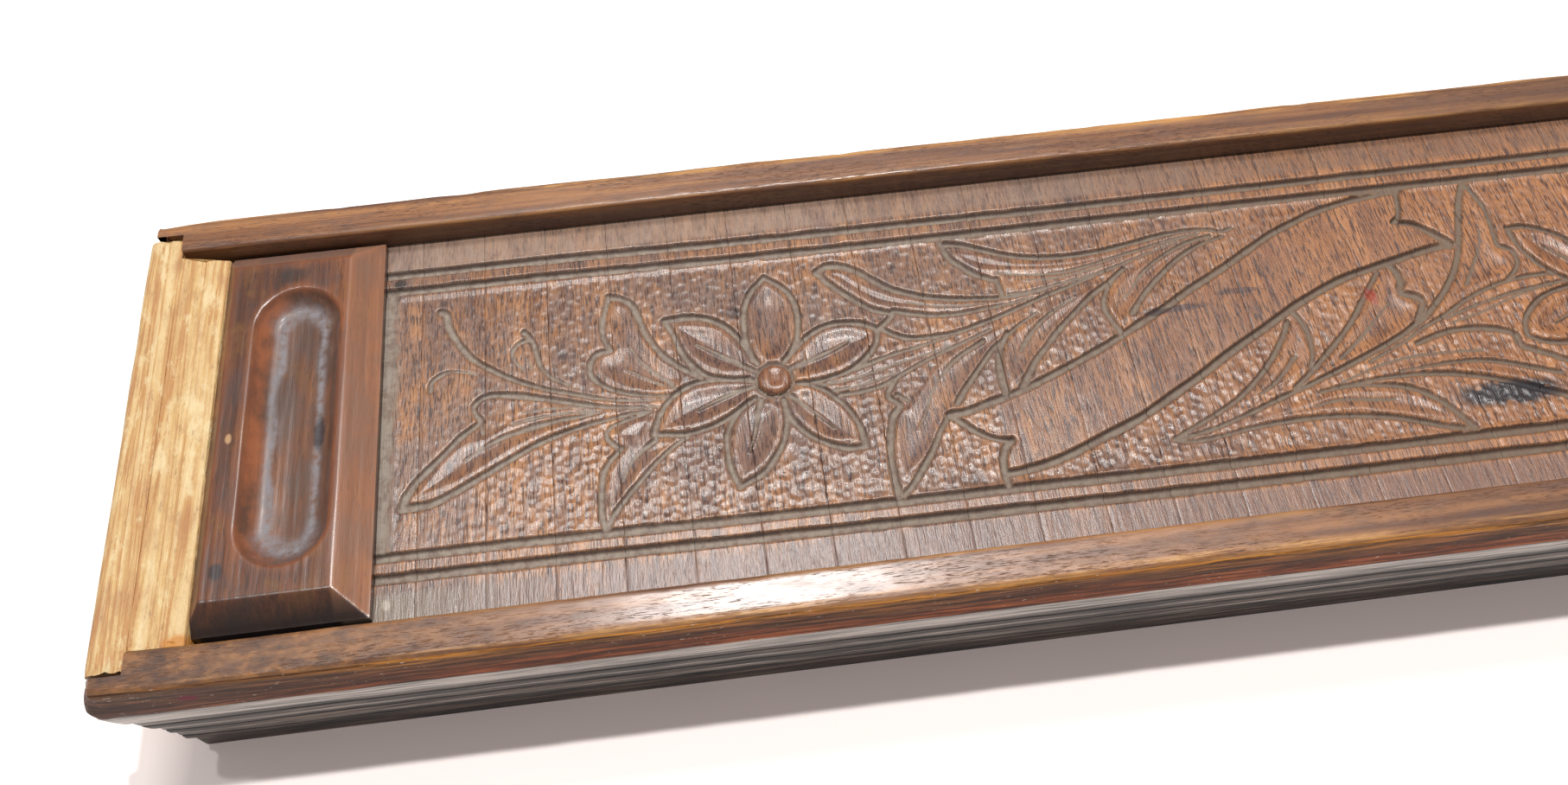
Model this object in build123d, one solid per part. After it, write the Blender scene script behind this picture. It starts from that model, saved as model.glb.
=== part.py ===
from build123d import *
import math
import os

# A long wooden pencil box with a roll-top lid: a curtain of slats on canvas, led by a finger block,
# runs in a track cut in the side boards, round a bend at the right and back under the tray floor.
# X runs along the box, Y across it and Z up. The origin is under the middle of the box.

# Overall sizes
box_length = 260.0
box_width = 65.0
box_height = 29.0
corner_radius = 3.0  # the four upright corners, seen from above
top_edge_radius = 1.2  # worn outer edge along the top

# Moulding round the outside, from the top down
face_height = 7.9  # plain upright face
bevel_height = 3.9  # smooth band that leans in below the face
bevel_inset = 0.3
reed_count = 3
reed_inset = 0.4  # each reed stands in from the one above
quirk_depth = 0.7  # narrow groove over each reed
quirk_height = 0.5
shoulder_drop = 0.9  # rounded top of a reed
line_drop = 1.2  # from the shoulder to the small step below it
line_depth = 0.3
line_height = 0.35
base_step = 0.4  # the bottom board stands in from the last reed
base_end_step = 0.5  # and this much from the outside of the end boards
base_corner = 1.2  # radius of its corners in plan

# Boards
side_thick = 5.0
end_setback = 2.5  # the end boards stand this far inside the rounded ends of the side boards
end_thick = 4.0  # outer half of an end board, let into the side boards
rebate_depth = 2.7  # how far that half reaches into each side board
left_block_width = 10.3  # whole thickness of the left end board
left_ridge_from_end = 7.0  # crest along the top of the left end board
left_top_drop = 0.5
left_ridge_drop = 1.4
left_inner_drop = 2.0
base_thick = 4.0
tray_floor_thick = 2.2
tray_end_thick = 3.0
tray_end_setback = 5.3  # from the start of the bend back to the inner end of the tray
floor_past_end = 1.5  # the tray floor runs on this far behind the inner end
housing_depth = 1.5  # the tray floor's edges sit this deep in the side boards
joint_fit = 0.1  # gap left in a glued joint

# Curtain and its track
lid_sink = 3.9  # top of the slats below the top of the side boards
slat_thick = 2.6
slat_pitch_wanted = 8.32
slat_gap = 0.22
slats_round_the_bend = 1
slat_chamfer = 0.15
canvas_thick = 0.4
canvas_margin = 1.0  # bare wood between the canvas and a side board
track_depth = 1.7
track_play = 0.2  # above and below a slat
slat_end_play = 0.4  # between a slat's end and the bottom of the track
bend_play = 0.75  # extra room for flat slats going round
track_floor_gap = 0.6  # wood between the lower track and the bottom board
floor_over_track = 0.8  # between the lower track and the tray floor
end_gap = 2.7  # between the bend and the right end board
lower_track_left = 30.0  # free length left at the end of the lower track

# Finger block
block_width = 19.8
block_gap = 0.2  # between the block and the left end board
block_side_gap = 1.0
block_shift = 0.45  # the block stands this much nearer to the far side board
block_tongue_thick = 1.4  # its tongues in the track
block_lip = 3.5  # the block's right edge laps over the first slat
block_drop = 0.7  # plateau below the top of the side boards
block_edge = 1.2  # upright edge above the slats
bevel_left = 1.1
bevel_right = 3.9
bevel_near = 3.5
bevel_far = 2.8
hollow_length = 38.8
hollow_width = 11.0
hollow_depth = 2.3
hollow_slope = 2.3  # width of the sloping wall all round
hollow_setback = 9.5  # from the block's left edge to the middle of the hollow

# Right cap
cap_thick = 2.8
cap_clear = 0.5  # above the slats
cap_crown = 0.6
cap_end_drop = 0.6  # crest of the cap below the top of the side boards

# Panel pins
pin_diameter = 1.0
pin_head_diameter = 2.2
pin_head_thick = 0.6
pin_length = 12.0
pin_sunk = 0.1
pins_per_end = 3
pin_spacing = 20.0

# Worked out from the sizes above
half_length = box_length / 2
end_face = half_length - end_setback
half_width = box_width / 2
inner_half = half_width - side_thick
reed_height = (box_height - base_thick - face_height - bevel_height) / reed_count
base_inset = bevel_inset + reed_count * reed_inset + base_step
lid_top = box_height - lid_sink
slat_middle = lid_top - slat_thick / 2
track_height = slat_thick + 2 * track_play
lower_slat_middle = base_thick + track_floor_gap + track_height / 2
bend_radius = (slat_middle - lower_slat_middle) / 2
bend_height = (slat_middle + lower_slat_middle) / 2
bend_inner = bend_radius - track_height / 2
bend_outer = bend_radius + track_height / 2 + bend_play
bend_x = end_face - end_thick - end_gap - bend_outer
floor_bottom = base_thick + track_floor_gap + track_height + floor_over_track
floor_top = floor_bottom + tray_floor_thick
tray_left = -end_face + left_block_width
tray_right = bend_x - tray_end_setback
floor_right = tray_right + tray_end_thick + floor_past_end
block_left = tray_left + block_gap
block_right = block_left + block_width
first_slat_left = block_right - block_lip
slat_half = inner_half + track_depth - slat_end_play
canvas_top = lid_top - slat_thick

# The slats are cut so that the middle of one lies just where the bend starts
flat_span = bend_x - first_slat_left
slats_on_the_flat = round(flat_span / slat_pitch_wanted + 0.5)
slat_pitch = flat_span / (slats_on_the_flat - 0.5)
joint_height = canvas_top - bend_height
slat_turn = 2 * math.atan(slat_pitch / 2 / joint_height)


def between(x_low, x_high, y_low, y_high, z_low, z_high):
    """A box from its lowest to its highest corner."""
    size = (x_high - x_low, y_high - y_low, z_high - z_low)
    middle = ((x_low + x_high) / 2, (y_low + y_high) / 2, (z_low + z_high) / 2)
    return Pos(*middle) * Box(*size)


def across(sketch, y_low, y_high):
    """Stand a sketch drawn in X and Z upright and carry it across the box."""
    return Pos(0, y_high, 0) * Rot(90, 0, 0) * extrude(sketch, amount=y_high - y_low)


def moulding():
    """The outside from the bottom board up, as steps of (inset, height), with the middle of each arc."""
    steps = []
    for reed in reversed(range(reed_count)):
        top = box_height - face_height - bevel_height - reed * reed_height
        inset = bevel_inset + (reed + 1) * reed_inset
        shoulder = top - quirk_height - shoulder_drop
        line_top = shoulder - line_drop
        steps.append(("line", None, (inset, top - reed_height)))
        steps.append(("line", None, (inset, line_top - line_height)))
        steps.append(("line", None, (inset + line_depth, line_top)))
        steps.append(("line", None, (inset, line_top)))
        steps.append(("line", None, (inset, shoulder)))
        bow = 1 - math.sqrt(0.5)
        middle = (inset + bow * quirk_depth, shoulder + (1 - bow) * shoulder_drop)
        steps.append(("arc", middle, (inset + quirk_depth, shoulder + shoulder_drop)))
        steps.append(("line", None, (inset + quirk_depth, top)))
    steps.append(("line", None, (bevel_inset, box_height - face_height - bevel_height)))
    steps.append(("line", None, (0.0, box_height - face_height)))
    steps.append(("line", None, (0.0, box_height - top_edge_radius)))
    bow = (1 - math.sqrt(0.5)) * top_edge_radius
    steps.append(("arc", (bow, box_height - bow), (top_edge_radius, box_height)))
    return steps


def outside_section(half_span):
    """Cross-section of the whole outside, drawn flat: its second coordinate is the height."""
    edges = []
    corners = []
    for side in (-1, 1):
        last = None
        for kind, middle, (inset, height) in moulding():
            point = Vector(side * (half_span - inset), height)
            if last is None:
                corners.append(point)
            elif kind == "arc":
                through = Vector(side * (half_span - middle[0]), middle[1])
                edges.append(ThreePointArc(last, through, point))
            else:
                edges.append(Line(last, point))
            last = point
        corners.append(last)
    edges.append(Line(corners[0], corners[2]))
    edges.append(Line(corners[1], corners[3]))
    return make_face(edges)


def outside_form(half_span):
    """Everything above the bottom board, solid, with the moulding carried round all four sides."""
    along = Rot(0, 0, 90) * across(outside_section(half_width), -half_span, half_span)
    crossing = across(outside_section(half_span), -half_width, half_width)
    plan = extrude(RectangleRounded(2 * half_span, box_width, corner_radius), amount=box_height)
    return along & crossing & plan


def track_sketch():
    """The track in X and Z: top run, bend and lower run."""
    left = -end_face + end_thick
    top_run = Pos((left + bend_x) / 2, slat_middle) * Rectangle(bend_x - left, track_height)
    lower_left = tray_left + lower_track_left
    lower_middle = (lower_left + bend_x) / 2
    lower_run = Pos(lower_middle, lower_slat_middle) * Rectangle(bend_x - lower_left, track_height)
    ring = Pos(bend_x, bend_height) * (Circle(bend_outer) - Circle(bend_inner))
    right_half = Pos(bend_x + bend_outer / 2, bend_height) * Rectangle(bend_outer, 2 * bend_outer)
    return top_run + lower_run + (ring & right_half)


def make_side_board(form):
    """The near side board: moulded outside, with the track, the housing and the end rebates inside."""
    board = form & between(-half_length, half_length, -half_width, -inner_half, base_thick, box_height)
    board -= across(track_sketch(), -inner_half - track_depth, -inner_half)
    board -= between(tray_left - end_thick, floor_right + joint_fit,
                     -inner_half - housing_depth, -inner_half,
                     floor_bottom - joint_fit, floor_top + joint_fit)
    for side in (-1, 1):
        shoulder = side * (end_face - end_thick)
        x_low, x_high = sorted((shoulder, side * half_length))
        board -= between(x_low, x_high, -inner_half - rebate_depth, -inner_half, base_thick, box_height)
    return board


def make_left_end_board(form):
    """Outer half full height between the rebates, inner half between the side boards with a ridged top."""
    outer_half = inner_half + rebate_depth - joint_fit
    outer = form & between(-end_face, -end_face + end_thick, -outer_half, outer_half,
                           base_thick, box_height - left_top_drop / 2)
    shoulder = -end_face + end_thick
    ridge = -end_face + left_ridge_from_end
    profile = make_face(Polyline(
        (shoulder, base_thick),
        (tray_left, base_thick),
        (tray_left, box_height - left_inner_drop),
        (ridge, box_height - left_ridge_drop),
        (shoulder, box_height - left_top_drop),
        close=True))
    return outer + across(profile, -inner_half + joint_fit, inner_half - joint_fit)


def make_right_end_board(form):
    """Plain end board in the right-hand rebates."""
    outer_half = inner_half + rebate_depth - joint_fit
    return form & between(end_face - end_thick + joint_fit, end_face, -outer_half, outer_half,
                          base_thick, box_height - left_top_drop / 2)


def make_right_cap():
    """Strip between the side boards that covers the bend, with a gently rounded top."""
    left = bend_x
    right = end_face - end_thick
    bottom = lid_top + cap_clear
    top = min(bottom + cap_thick, box_height - cap_end_drop)
    edge = top - cap_crown
    profile = make_face([
        Line((left, bottom), (right, bottom)),
        Line((right, bottom), (right, edge)),
        ThreePointArc((right, edge), ((left + right) / 2, top), (left, edge)),
        Line((left, edge), (left, bottom))])
    return across(profile, -inner_half + joint_fit, inner_half - joint_fit)


def make_bottom_board():
    """Board under the whole box, set in from the last reed along the sides."""
    outline = RectangleRounded(2 * (end_face - base_end_step), box_width - 2 * base_inset, base_corner)
    return extrude(outline, amount=base_thick)


def make_tray_floor():
    """Floor of the pencil tray, its long edges in the housings."""
    edge = inner_half + housing_depth - joint_fit
    return between(tray_left, floor_right, -edge, edge, floor_bottom, floor_top)


def make_tray_end():
    """Inner end of the tray, as high as the underside of the canvas allows."""
    side = inner_half - joint_fit
    top = canvas_top - canvas_thick - track_play
    return between(tray_right, tray_right + tray_end_thick, -side, side, floor_top, top)


def make_finger_block():
    """Block with tongues in the track, four bevels, a lip over the first slat and a thumb hollow."""
    near = block_side_gap + block_shift - inner_half
    far = inner_half - block_side_gap + block_shift
    plateau = box_height - block_drop
    edge_top = lid_top + block_edge
    tongue_top = canvas_top + block_tongue_thick
    body = between(block_left, first_slat_left, near, far, canvas_top, lid_top)
    body += between(block_left, first_slat_left, -slat_half, slat_half, canvas_top, tongue_top)
    body += between(block_left, block_right, near, far, lid_top, edge_top)
    foot_x = (block_left + block_right) / 2
    foot = Pos(foot_x, (near + far) / 2, edge_top) * Rectangle(block_width, far - near)
    head_width = block_width - bevel_left - bevel_right
    head_length = far - near - bevel_near - bevel_far
    head_x = block_left + bevel_left + head_width / 2
    head_y = (near + bevel_near + far - bevel_far) / 2
    head = Pos(head_x, head_y, plateau) * Rectangle(head_width, head_length)
    body += loft([foot.face(), head.face()], ruled=True)
    hollow_x = block_left + hollow_setback
    rim_slot = SlotOverall(hollow_length, hollow_width, rotation=90)
    rim = Pos(hollow_x, block_shift, plateau) * rim_slot
    both_walls = 2 * hollow_slope
    floor_slot = SlotOverall(hollow_length - both_walls, hollow_width - both_walls, rotation=90)
    floor = Pos(hollow_x, block_shift, plateau - hollow_depth) * floor_slot
    return body - loft([floor.face(), rim.face()], ruled=True)


def make_slat():
    """One slat about its own middle, its upper long edges just broken."""
    slat = Box(slat_pitch - slat_gap, 2 * slat_half, slat_thick)
    upper = slat.edges().filter_by(Axis.Y).group_by(Axis.Z)[-1]
    return chamfer(upper, slat_chamfer)


def slat_places():
    """Where the slats lie, from the finger block along the flat and then round the bend."""
    places = []
    for number in range(slats_on_the_flat):
        x = first_slat_left + (number + 0.5) * slat_pitch
        places.append(Pos(x, 0, slat_middle))
    for number in range(slats_round_the_bend):
        turn = (number + 1) * slat_turn
        x = bend_x + bend_radius * math.sin(turn)
        z = bend_height + bend_radius * math.cos(turn)
        places.append(Pos(x, 0, z) * Rot(0, math.degrees(turn), 0))
    return places


def make_canvas():
    """Strip glued under the slats: flat, then round the bend as far as the last slat."""
    side = inner_half - canvas_margin
    middle = canvas_top - canvas_thick / 2
    flat = Pos((first_slat_left + bend_x) / 2, middle) * Rectangle(bend_x - first_slat_left, canvas_thick)
    inner = bend_radius - slat_thick / 2 - canvas_thick
    turn = (slats_round_the_bend + 0.5) * slat_turn - slat_gap / inner
    ring = Circle(inner + canvas_thick) - Circle(inner)
    reach = 2 * bend_outer
    wedge = make_face(Polyline(
        (0, 0), (0, reach), (reach, reach), (reach * math.sin(turn), reach * math.cos(turn)), close=True))
    return across(flat + Pos(bend_x, bend_height) * (ring & wedge), -side, side)


def pin_places():
    """Left pins rise into the thick end board, right pins into the middle of the thin one."""
    lean_end = end_thick - base_inset + base_step
    left_x = -end_face + left_block_width / 2
    right_x = end_face - end_thick + lean_end / 2
    first = -(pins_per_end - 1) / 2 * pin_spacing
    return [(x, first + n * pin_spacing) for x in (left_x, right_x) for n in range(pins_per_end)]


def make_pins():
    """Panel pins, head down, sunk just below the bottom."""
    pins = []
    stand = (Align.CENTER, Align.CENTER, Align.MIN)
    for x, y in pin_places():
        shank = Cylinder(pin_diameter / 2, pin_length, align=stand)
        head = Cylinder(pin_head_diameter / 2, pin_head_thick, align=stand)
        pins.append(Pos(x, y, pin_sunk) * (shank + head))
    return pins


def pin_holes():
    """What the pins take out of the boards."""
    holes = []
    stand = (Align.CENTER, Align.CENTER, Align.MIN)
    for x, y in pin_places():
        shank = Cylinder(pin_diameter / 2, pin_length + pin_sunk, align=stand)
        head = Cylinder(pin_head_diameter / 2, pin_head_thick + pin_sunk, align=stand)
        holes.append(Pos(x, y, 0) * (shank + head))
    return holes


def build():
    """Every piece by name."""
    near = make_side_board(outside_form(half_length))
    ends = outside_form(end_face)
    parts = {
        "side_board_near": near,
        "side_board_far": mirror(near, about=Plane.XZ),
        "end_board_left": make_left_end_board(ends),
        "end_board_right": make_right_end_board(ends),
        "top_cap_right": make_right_cap(),
        "bottom_board": make_bottom_board(),
        "tray_floor": make_tray_floor(),
        "tray_end": make_tray_end(),
        "finger_block": make_finger_block(),
        "canvas_backing": make_canvas(),
    }
    for name in ("end_board_left", "end_board_right", "bottom_board"):
        for hole in pin_holes():
            parts[name] -= hole
    slat = make_slat()
    for number, place in enumerate(slat_places(), start=1):
        parts[f"slat_{number:02d}"] = place * slat
    parts["bottom_pins"] = Compound(children=make_pins())
    return parts


os.makedirs("parts", exist_ok=True)
for node, shape in build().items():
    export_step(shape, f"parts/{node}.step")
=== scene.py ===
"""Old pencil box with a carved roll-top lid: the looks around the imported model."""

import functools
import math

import bpy
import numpy as np
from mathutils import Matrix, Vector


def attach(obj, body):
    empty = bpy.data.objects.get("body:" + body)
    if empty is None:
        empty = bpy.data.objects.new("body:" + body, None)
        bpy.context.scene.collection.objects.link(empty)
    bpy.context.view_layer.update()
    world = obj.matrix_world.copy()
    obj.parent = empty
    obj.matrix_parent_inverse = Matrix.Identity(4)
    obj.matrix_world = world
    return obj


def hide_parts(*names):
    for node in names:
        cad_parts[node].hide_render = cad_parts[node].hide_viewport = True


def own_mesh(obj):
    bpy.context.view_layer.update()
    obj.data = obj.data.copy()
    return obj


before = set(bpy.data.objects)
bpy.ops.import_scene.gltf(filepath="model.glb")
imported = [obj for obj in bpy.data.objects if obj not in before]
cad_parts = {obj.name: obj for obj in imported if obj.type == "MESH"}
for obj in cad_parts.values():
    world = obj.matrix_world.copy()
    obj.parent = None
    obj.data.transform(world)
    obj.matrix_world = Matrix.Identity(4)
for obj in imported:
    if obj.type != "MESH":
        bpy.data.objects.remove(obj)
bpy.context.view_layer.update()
MM = 0.001

# Sizes of the box in millimetres, as in the part
BOARD_HALF = 130.0  # half the length of the side boards
HALF_LENGTH = 127.5  # from the middle to the outside of an end board
HALF_WIDTH = 32.5
HEIGHT = 29.0
CORNER_RADIUS = 3.0
INNER_HALF = 27.5
END_THICK = 4.0
SHOULDER = HALF_LENGTH - END_THICK  # the ends' outer halves, let into the side boards, reach in to here
REBATE = 2.7
JOINT_HALF = INNER_HALF + REBATE
BASE_THICK = 4.0
WALL_FOOT = BASE_THICK + 0.02  # just clear of the bottom board
LID_TOP = 25.1
SLAT_THICK = 2.6
SLAT_BOTTOM = LID_TOP - SLAT_THICK
SLAT_GAP = 0.22
SLAT_HALF = 28.8
FIRST_SLAT_LEFT = -100.7
BEND_X = 109.7
BEND_HEIGHT = 14.95
BEND_RADIUS = 8.85
FLAT_SLATS = 26  # slats that lie flat when the lid is closed; one more lies round the bend
PITCH = (BEND_X - FIRST_SLAT_LEFT) / (FLAT_SLATS - 0.5)
SLAT_TURN = 2 * math.atan(PITCH / 2 / (SLAT_BOTTOM - BEND_HEIGHT))  # of a slat in the bend
TRAY_LEFT = -117.5
BLOCK_LEFT = -117.4
BLOCK_RIGHT = -97.2
BLOCK_NEAR = -26.05
BLOCK_FAR = 26.95
BLOCK_PLATEAU = 28.3

# The outside of the boards from the top down: upright face, leaning band, reeds, bottom board
FACE_DROP = 7.9
FACE_FOOT = HEIGHT - FACE_DROP
BAND_DROP = 3.9
BAND_FOOT = FACE_FOOT - BAND_DROP
REEDS = 3
REED_HEIGHT = (HEIGHT - BASE_THICK - FACE_DROP - BAND_DROP) / REEDS
ROWS_PER_REED = 16
BAND_ROWS = 9

# What the picture shows beyond the part's plain shapes
END_BULGE = 0.7  # the outside of the left end board stands out this much more
HAIRLINE = 0.04  # what shows of a joint between two slats
CELL = 0.16  # grid of the carving
QUARTER = math.pi / 2

# The photograph's camera, fitted to the box's edges
SENSOR = 36.0
PHOTO_WIDTH = 1814.0
FOCAL_PIXELS = 1432.0
CAMERA_PLACE = (-52.842, -78.187, 162.009)
CAMERA_RIGHT = (0.992605, -0.119744, -0.019934)
CAMERA_UP = (0.114276, 0.866335, 0.486215)
CAMERA_BACK = (-0.040952, -0.484897, 0.873612)


# ---------------------------------------------------------------- camera, floor and light
def add_camera():
    """Stands where the photograph was taken from."""
    data = bpy.data.cameras.new("camera")
    data.sensor_width = SENSOR
    data.lens = SENSOR * FOCAL_PIXELS / PHOTO_WIDTH
    data.clip_start = 0.01
    camera = bpy.data.objects.new("camera", data)
    bpy.context.scene.collection.objects.link(camera)
    columns = zip(CAMERA_RIGHT, CAMERA_UP, CAMERA_BACK, (value * MM for value in CAMERA_PLACE))
    camera.matrix_world = Matrix([*columns, (0.0, 0.0, 0.0, 1.0)])
    bpy.context.scene.camera = camera


def srgb(red, green, blue):
    """A colour written as it looks on the screen, 0 to 255."""
    linear = []
    for value in (red, green, blue):
        value /= 255.0
        linear.append(value / 12.92 if value <= 0.04045 else ((value + 0.055) / 1.055) ** 2.4)
    return (*linear, 1.0)


def add_lamp(name, place, size, power, colour):
    """A soft rectangular lamp that looks at the middle of the picture."""
    data = bpy.data.lights.new(name, "AREA")
    data.shape = "RECTANGLE"
    data.size, data.size_y = size
    data.energy = power
    data.color = colour
    lamp = bpy.data.objects.new(name, data)
    bpy.context.scene.collection.objects.link(lamp)
    lamp.location = place
    direction = Vector((-0.03, -0.01, 0.025)) - lamp.location
    lamp.rotation_euler = direction.to_track_quat("-Z", "Y").to_euler()


def add_studio():
    """White table, lamps and a pale surrounding."""
    scene = bpy.context.scene
    scene.view_settings.view_transform = "Standard"
    world = bpy.data.worlds.new("surrounding")
    scene.world = world
    world.use_nodes = True
    back = world.node_tree.nodes["Background"]
    back.inputs["Color"].default_value = (1.0, 0.985, 0.975, 1.0)
    back.inputs["Strength"].default_value = 0.32

    add_lamp("left_lamp", (-0.372, 0.088, 0.900), (0.025, 0.025), 1.45, (1.0, 0.985, 0.965))
    add_lamp("right_lamp", (0.090, 0.088, 0.900), (0.025, 0.025), 5.3, (1.0, 0.985, 0.965))
    add_lamp("window", (-0.045, 0.310, 0.900), (0.20, 0.15), 3.6, (1.0, 0.99, 0.98))

    mesh = bpy.data.meshes.new("table")
    reach = 3.0
    corners = [(-reach, -reach, 0), (reach, -reach, 0), (reach, reach, 0), (-reach, reach, 0)]
    mesh.from_pydata(corners, [], [(0, 1, 2, 3)])
    table = bpy.data.objects.new("table", mesh)
    scene.collection.objects.link(table)

    # the camera sees bright paper with a faint glow, the box is lit by a plainer white
    r = Recipe("table", roughness=0.8, specular_ior_level=0.1)
    r.set("base_color", (0.84, 0.83, 0.83, 1.0))
    paper = r.node("BsdfDiffuse", {"Color": (1.0, 0.92, 0.90, 1.0)}).outputs[0]
    glow = r.node("Emission", {"Color": (1.0, 0.72, 0.66, 1.0), "Strength": 0.09}).outputs[0]
    both = r.node("AddShader", {0: paper, 1: glow}).outputs[0]
    camera_ray = r.node("LightPath", {}).outputs["Is Camera Ray"]
    seen = r.node("MixShader", {0: camera_ray, 1: r.shader.outputs[0], 2: both}).outputs[0]
    r.put(r.nodes["Material Output"].inputs["Surface"], seen)
    mesh.materials.append(r.material)


# ---------------------------------------------------------------- noise and smoothing in numpy
LATTICE = 64  # cells each way before the noise repeats
LATTICE_SHIFT = 1000.0  # keeps places left of the middle clear of the lattice's first cell


@functools.cache
def lattice(seed):
    """Random values between -1 and 1, always the same for a seed."""
    return np.random.default_rng(seed).uniform(-1, 1, (LATTICE, LATTICE))


def smooth_noise(x, y, scale_x, scale_y, seed):
    """Smooth random heights between -1 and 1, one lattice cell being scale_x by scale_y."""
    table = lattice(seed)
    u = np.asarray(x, float) / scale_x + LATTICE_SHIFT
    v = np.asarray(y, float) / scale_y + LATTICE_SHIFT
    i, j = np.floor(u).astype(int), np.floor(v).astype(int)
    fu, fv = u - i, v - j
    fu = fu * fu * (3 - 2 * fu)
    fv = fv * fv * (3 - 2 * fv)
    i, next_i, j, next_j = i % LATTICE, (i + 1) % LATTICE, j % LATTICE, (j + 1) % LATTICE
    low = table[i, j] * (1 - fu) + table[next_i, j] * fu
    high = table[i, next_j] * (1 - fu) + table[next_i, next_j] * fu
    return low * (1 - fv) + high * fv


def blurred(values, cells):
    """Gaussian blur along both axes of a grid."""
    reach = int(3 * cells) + 1
    weights = np.exp(-0.5 * (np.arange(-reach, reach + 1) / cells) ** 2)
    weights /= weights.sum()
    result = values
    for axis in (0, 1):
        pad = [(0, 0), (0, 0)]
        pad[axis] = (reach, reach)
        wide = np.pad(result, pad, mode="edge")
        total = np.zeros_like(result)
        for k, weight in enumerate(weights):
            part = [slice(None), slice(None)]
            part[axis] = slice(k, k + result.shape[axis])
            total += weight * wide[tuple(part)]
        result = total
    return result


def clamped(value):
    """The value, held between 0 and 1."""
    return np.clip(value, 0.0, 1.0)


def soft_step(value):
    """0 below 0, 1 above 1, smooth between."""
    t = clamped(value)
    return t * t * (3 - 2 * t)


def between(value, low, high, soft):
    """1 well between low and high and 0 outside, with soft edges that wide."""
    return soft_step((value - low) / soft) * soft_step((high - value) / soft)


def smooth_curve(points, step=0.35):
    """Points along a smooth curve through the given ones."""
    p = np.array(points, float)
    ends = np.vstack([2 * p[0] - p[1], p, 2 * p[-1] - p[-2]])
    made = []
    for a, b, c, d in zip(ends[:-3], ends[1:-2], ends[2:-1], ends[3:]):
        count = max(2, int(np.linalg.norm(c - b) / step))
        t = np.arange(count)[:, None] / count
        made.append(0.5 * (2 * b + (c - a) * t + (2 * a - 5 * b + 4 * c - d) * t ** 2
                           + (3 * b - a - 3 * c + d) * t ** 3))
    made.append(p[-1:])
    return np.vstack(made)


# ---------------------------------------------------------------- the carving, in millimetres
# Each cut is (width at its start, width at its end, depth, points along it).
BORDERS = [
    (1.35, 1.35, 0.62, [(-97.4, 22.5), (-75, 22.4), (-52, 22), (-20, 21.8), (0, 21.7), (45, 21.7),
     (111, 21.7)]),
    (1.35, 1.35, 0.62, [(-97.4, 19.8), (-75, 19.7), (-52, 19.3), (-20, 19.1), (0, 19.1), (45, 19.1),
     (111, 19.1)]),
    (1.4, 1.4, 0.62, [(-97.4, -18.3), (-75, -18.4), (-52, -18.75), (-20, -18.95), (0, -19.1), (45, -19.2),
     (111, -19.2)]),
    (1.4, 1.4, 0.62, [(-97.4, -21), (-75, -21.1), (-52, -21.4), (-20, -21.65), (0, -21.85), (45, -21.95),
     (111, -21.95)]),
]
FLOWER = [
    (0.95, 0.95, 0.55, [(-49.3, 2.7), (-50, 4.2), (-50.4, 6.5), (-50.4, 9), (-50, 11.6), (-48.9, 13.8),
     (-47, 15.8)]),
    (0.95, 0.95, 0.55, [(-47, 15.8), (-44.9, 14), (-43.7, 12), (-43.3, 9.7), (-43.5, 7), (-44.1, 5),
     (-45, 3.5), (-45.8, 2.6)]),
    (0.9, 0.95, 0.55, [(-44.8, 3.6), (-42.7, 5.6), (-40.3, 7), (-37.7, 7.3), (-35, 6.8), (-33.2, 5.7)]),
    (0.95, 0.8, 0.55, [(-33.2, 5.7), (-33.7, 3.7), (-35, 2), (-37.3, 0.3), (-40, -0.6), (-42.7, -1),
     (-44.6, -0.9)]),
    (0.8, 0.95, 0.55, [(-43.9, -1), (-41.7, -2), (-40, -3.6), (-38.6, -5.5), (-37.6, -8), (-37.2, -10.9)]),
    (0.95, 0.9, 0.55, [(-37.2, -10.9), (-39.3, -10.9), (-41.3, -10.2), (-43.3, -9), (-45, -7.3),
     (-46.1, -5.4), (-46.6, -3)]),
    (0.9, 0.95, 0.55, [(-46.5, -4.2), (-46.5, -6.2), (-47.2, -8.7), (-48.5, -11), (-50.2, -12.9),
     (-53.3, -14.4)]),
    (0.95, 0.9, 0.55, [(-53.3, -14.4), (-54.1, -11.7), (-54.3, -9), (-54, -6.7), (-52.9, -4.6),
     (-50.9, -2.7)]),
    (0.8, 0.95, 0.55, [(-50.1, -2.4), (-51.7, -3.4), (-53.7, -4.7), (-56, -5.7), (-59, -6.3), (-61.3, -6.1),
     (-63.2, -5.8)]),
    (0.95, 0.8, 0.55, [(-63.2, -5.8), (-62.7, -4.2), (-62, -2.7), (-60.6, -0.9), (-58.3, 0.5), (-55.7, 1),
     (-52.3, 0.6), (-49.9, 0.2)]),
    (0.9, 1.0, 0.55, [(-50.6, 0.6), (-53.3, 0.8), (-56, 1.8), (-57.8, 3.7), (-58.9, 5.7), (-59.6, 8),
     (-60.6, 10.6)]),
    (1.2, 0.9, 0.6, [(-60.6, 10.6), (-58, 10.8), (-55.3, 10.3), (-53.2, 9), (-51.7, 7.3), (-50.6, 5.4),
     (-49.9, 3.2)]),
]
PETAL_VEINS = [
    (1.0, 0.35, 0.35, [(-44.9, 1.4), (-42, 2.5), (-39.7, 3.3), (-37.4, 4.3)]),
    (0.9, 0.3, 0.35, [(-45.7, -2.6), (-44, -4.3), (-42.3, -6), (-40.7, -7.8)]),
    (0.9, 0.3, 0.35, [(-49.4, -2.8), (-50.2, -5.3), (-50.8, -7.7), (-51.6, -9.8)]),
    (0.9, 0.3, 0.35, [(-50.2, -0.8), (-52, -1.1), (-54.7, -2), (-57.4, -3.1)]),
    (1.0, 0.35, 0.35, [(-49.9, 1.6), (-52.3, 3.3), (-54.3, 4.8), (-56.8, 6.5)]),
]
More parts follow.
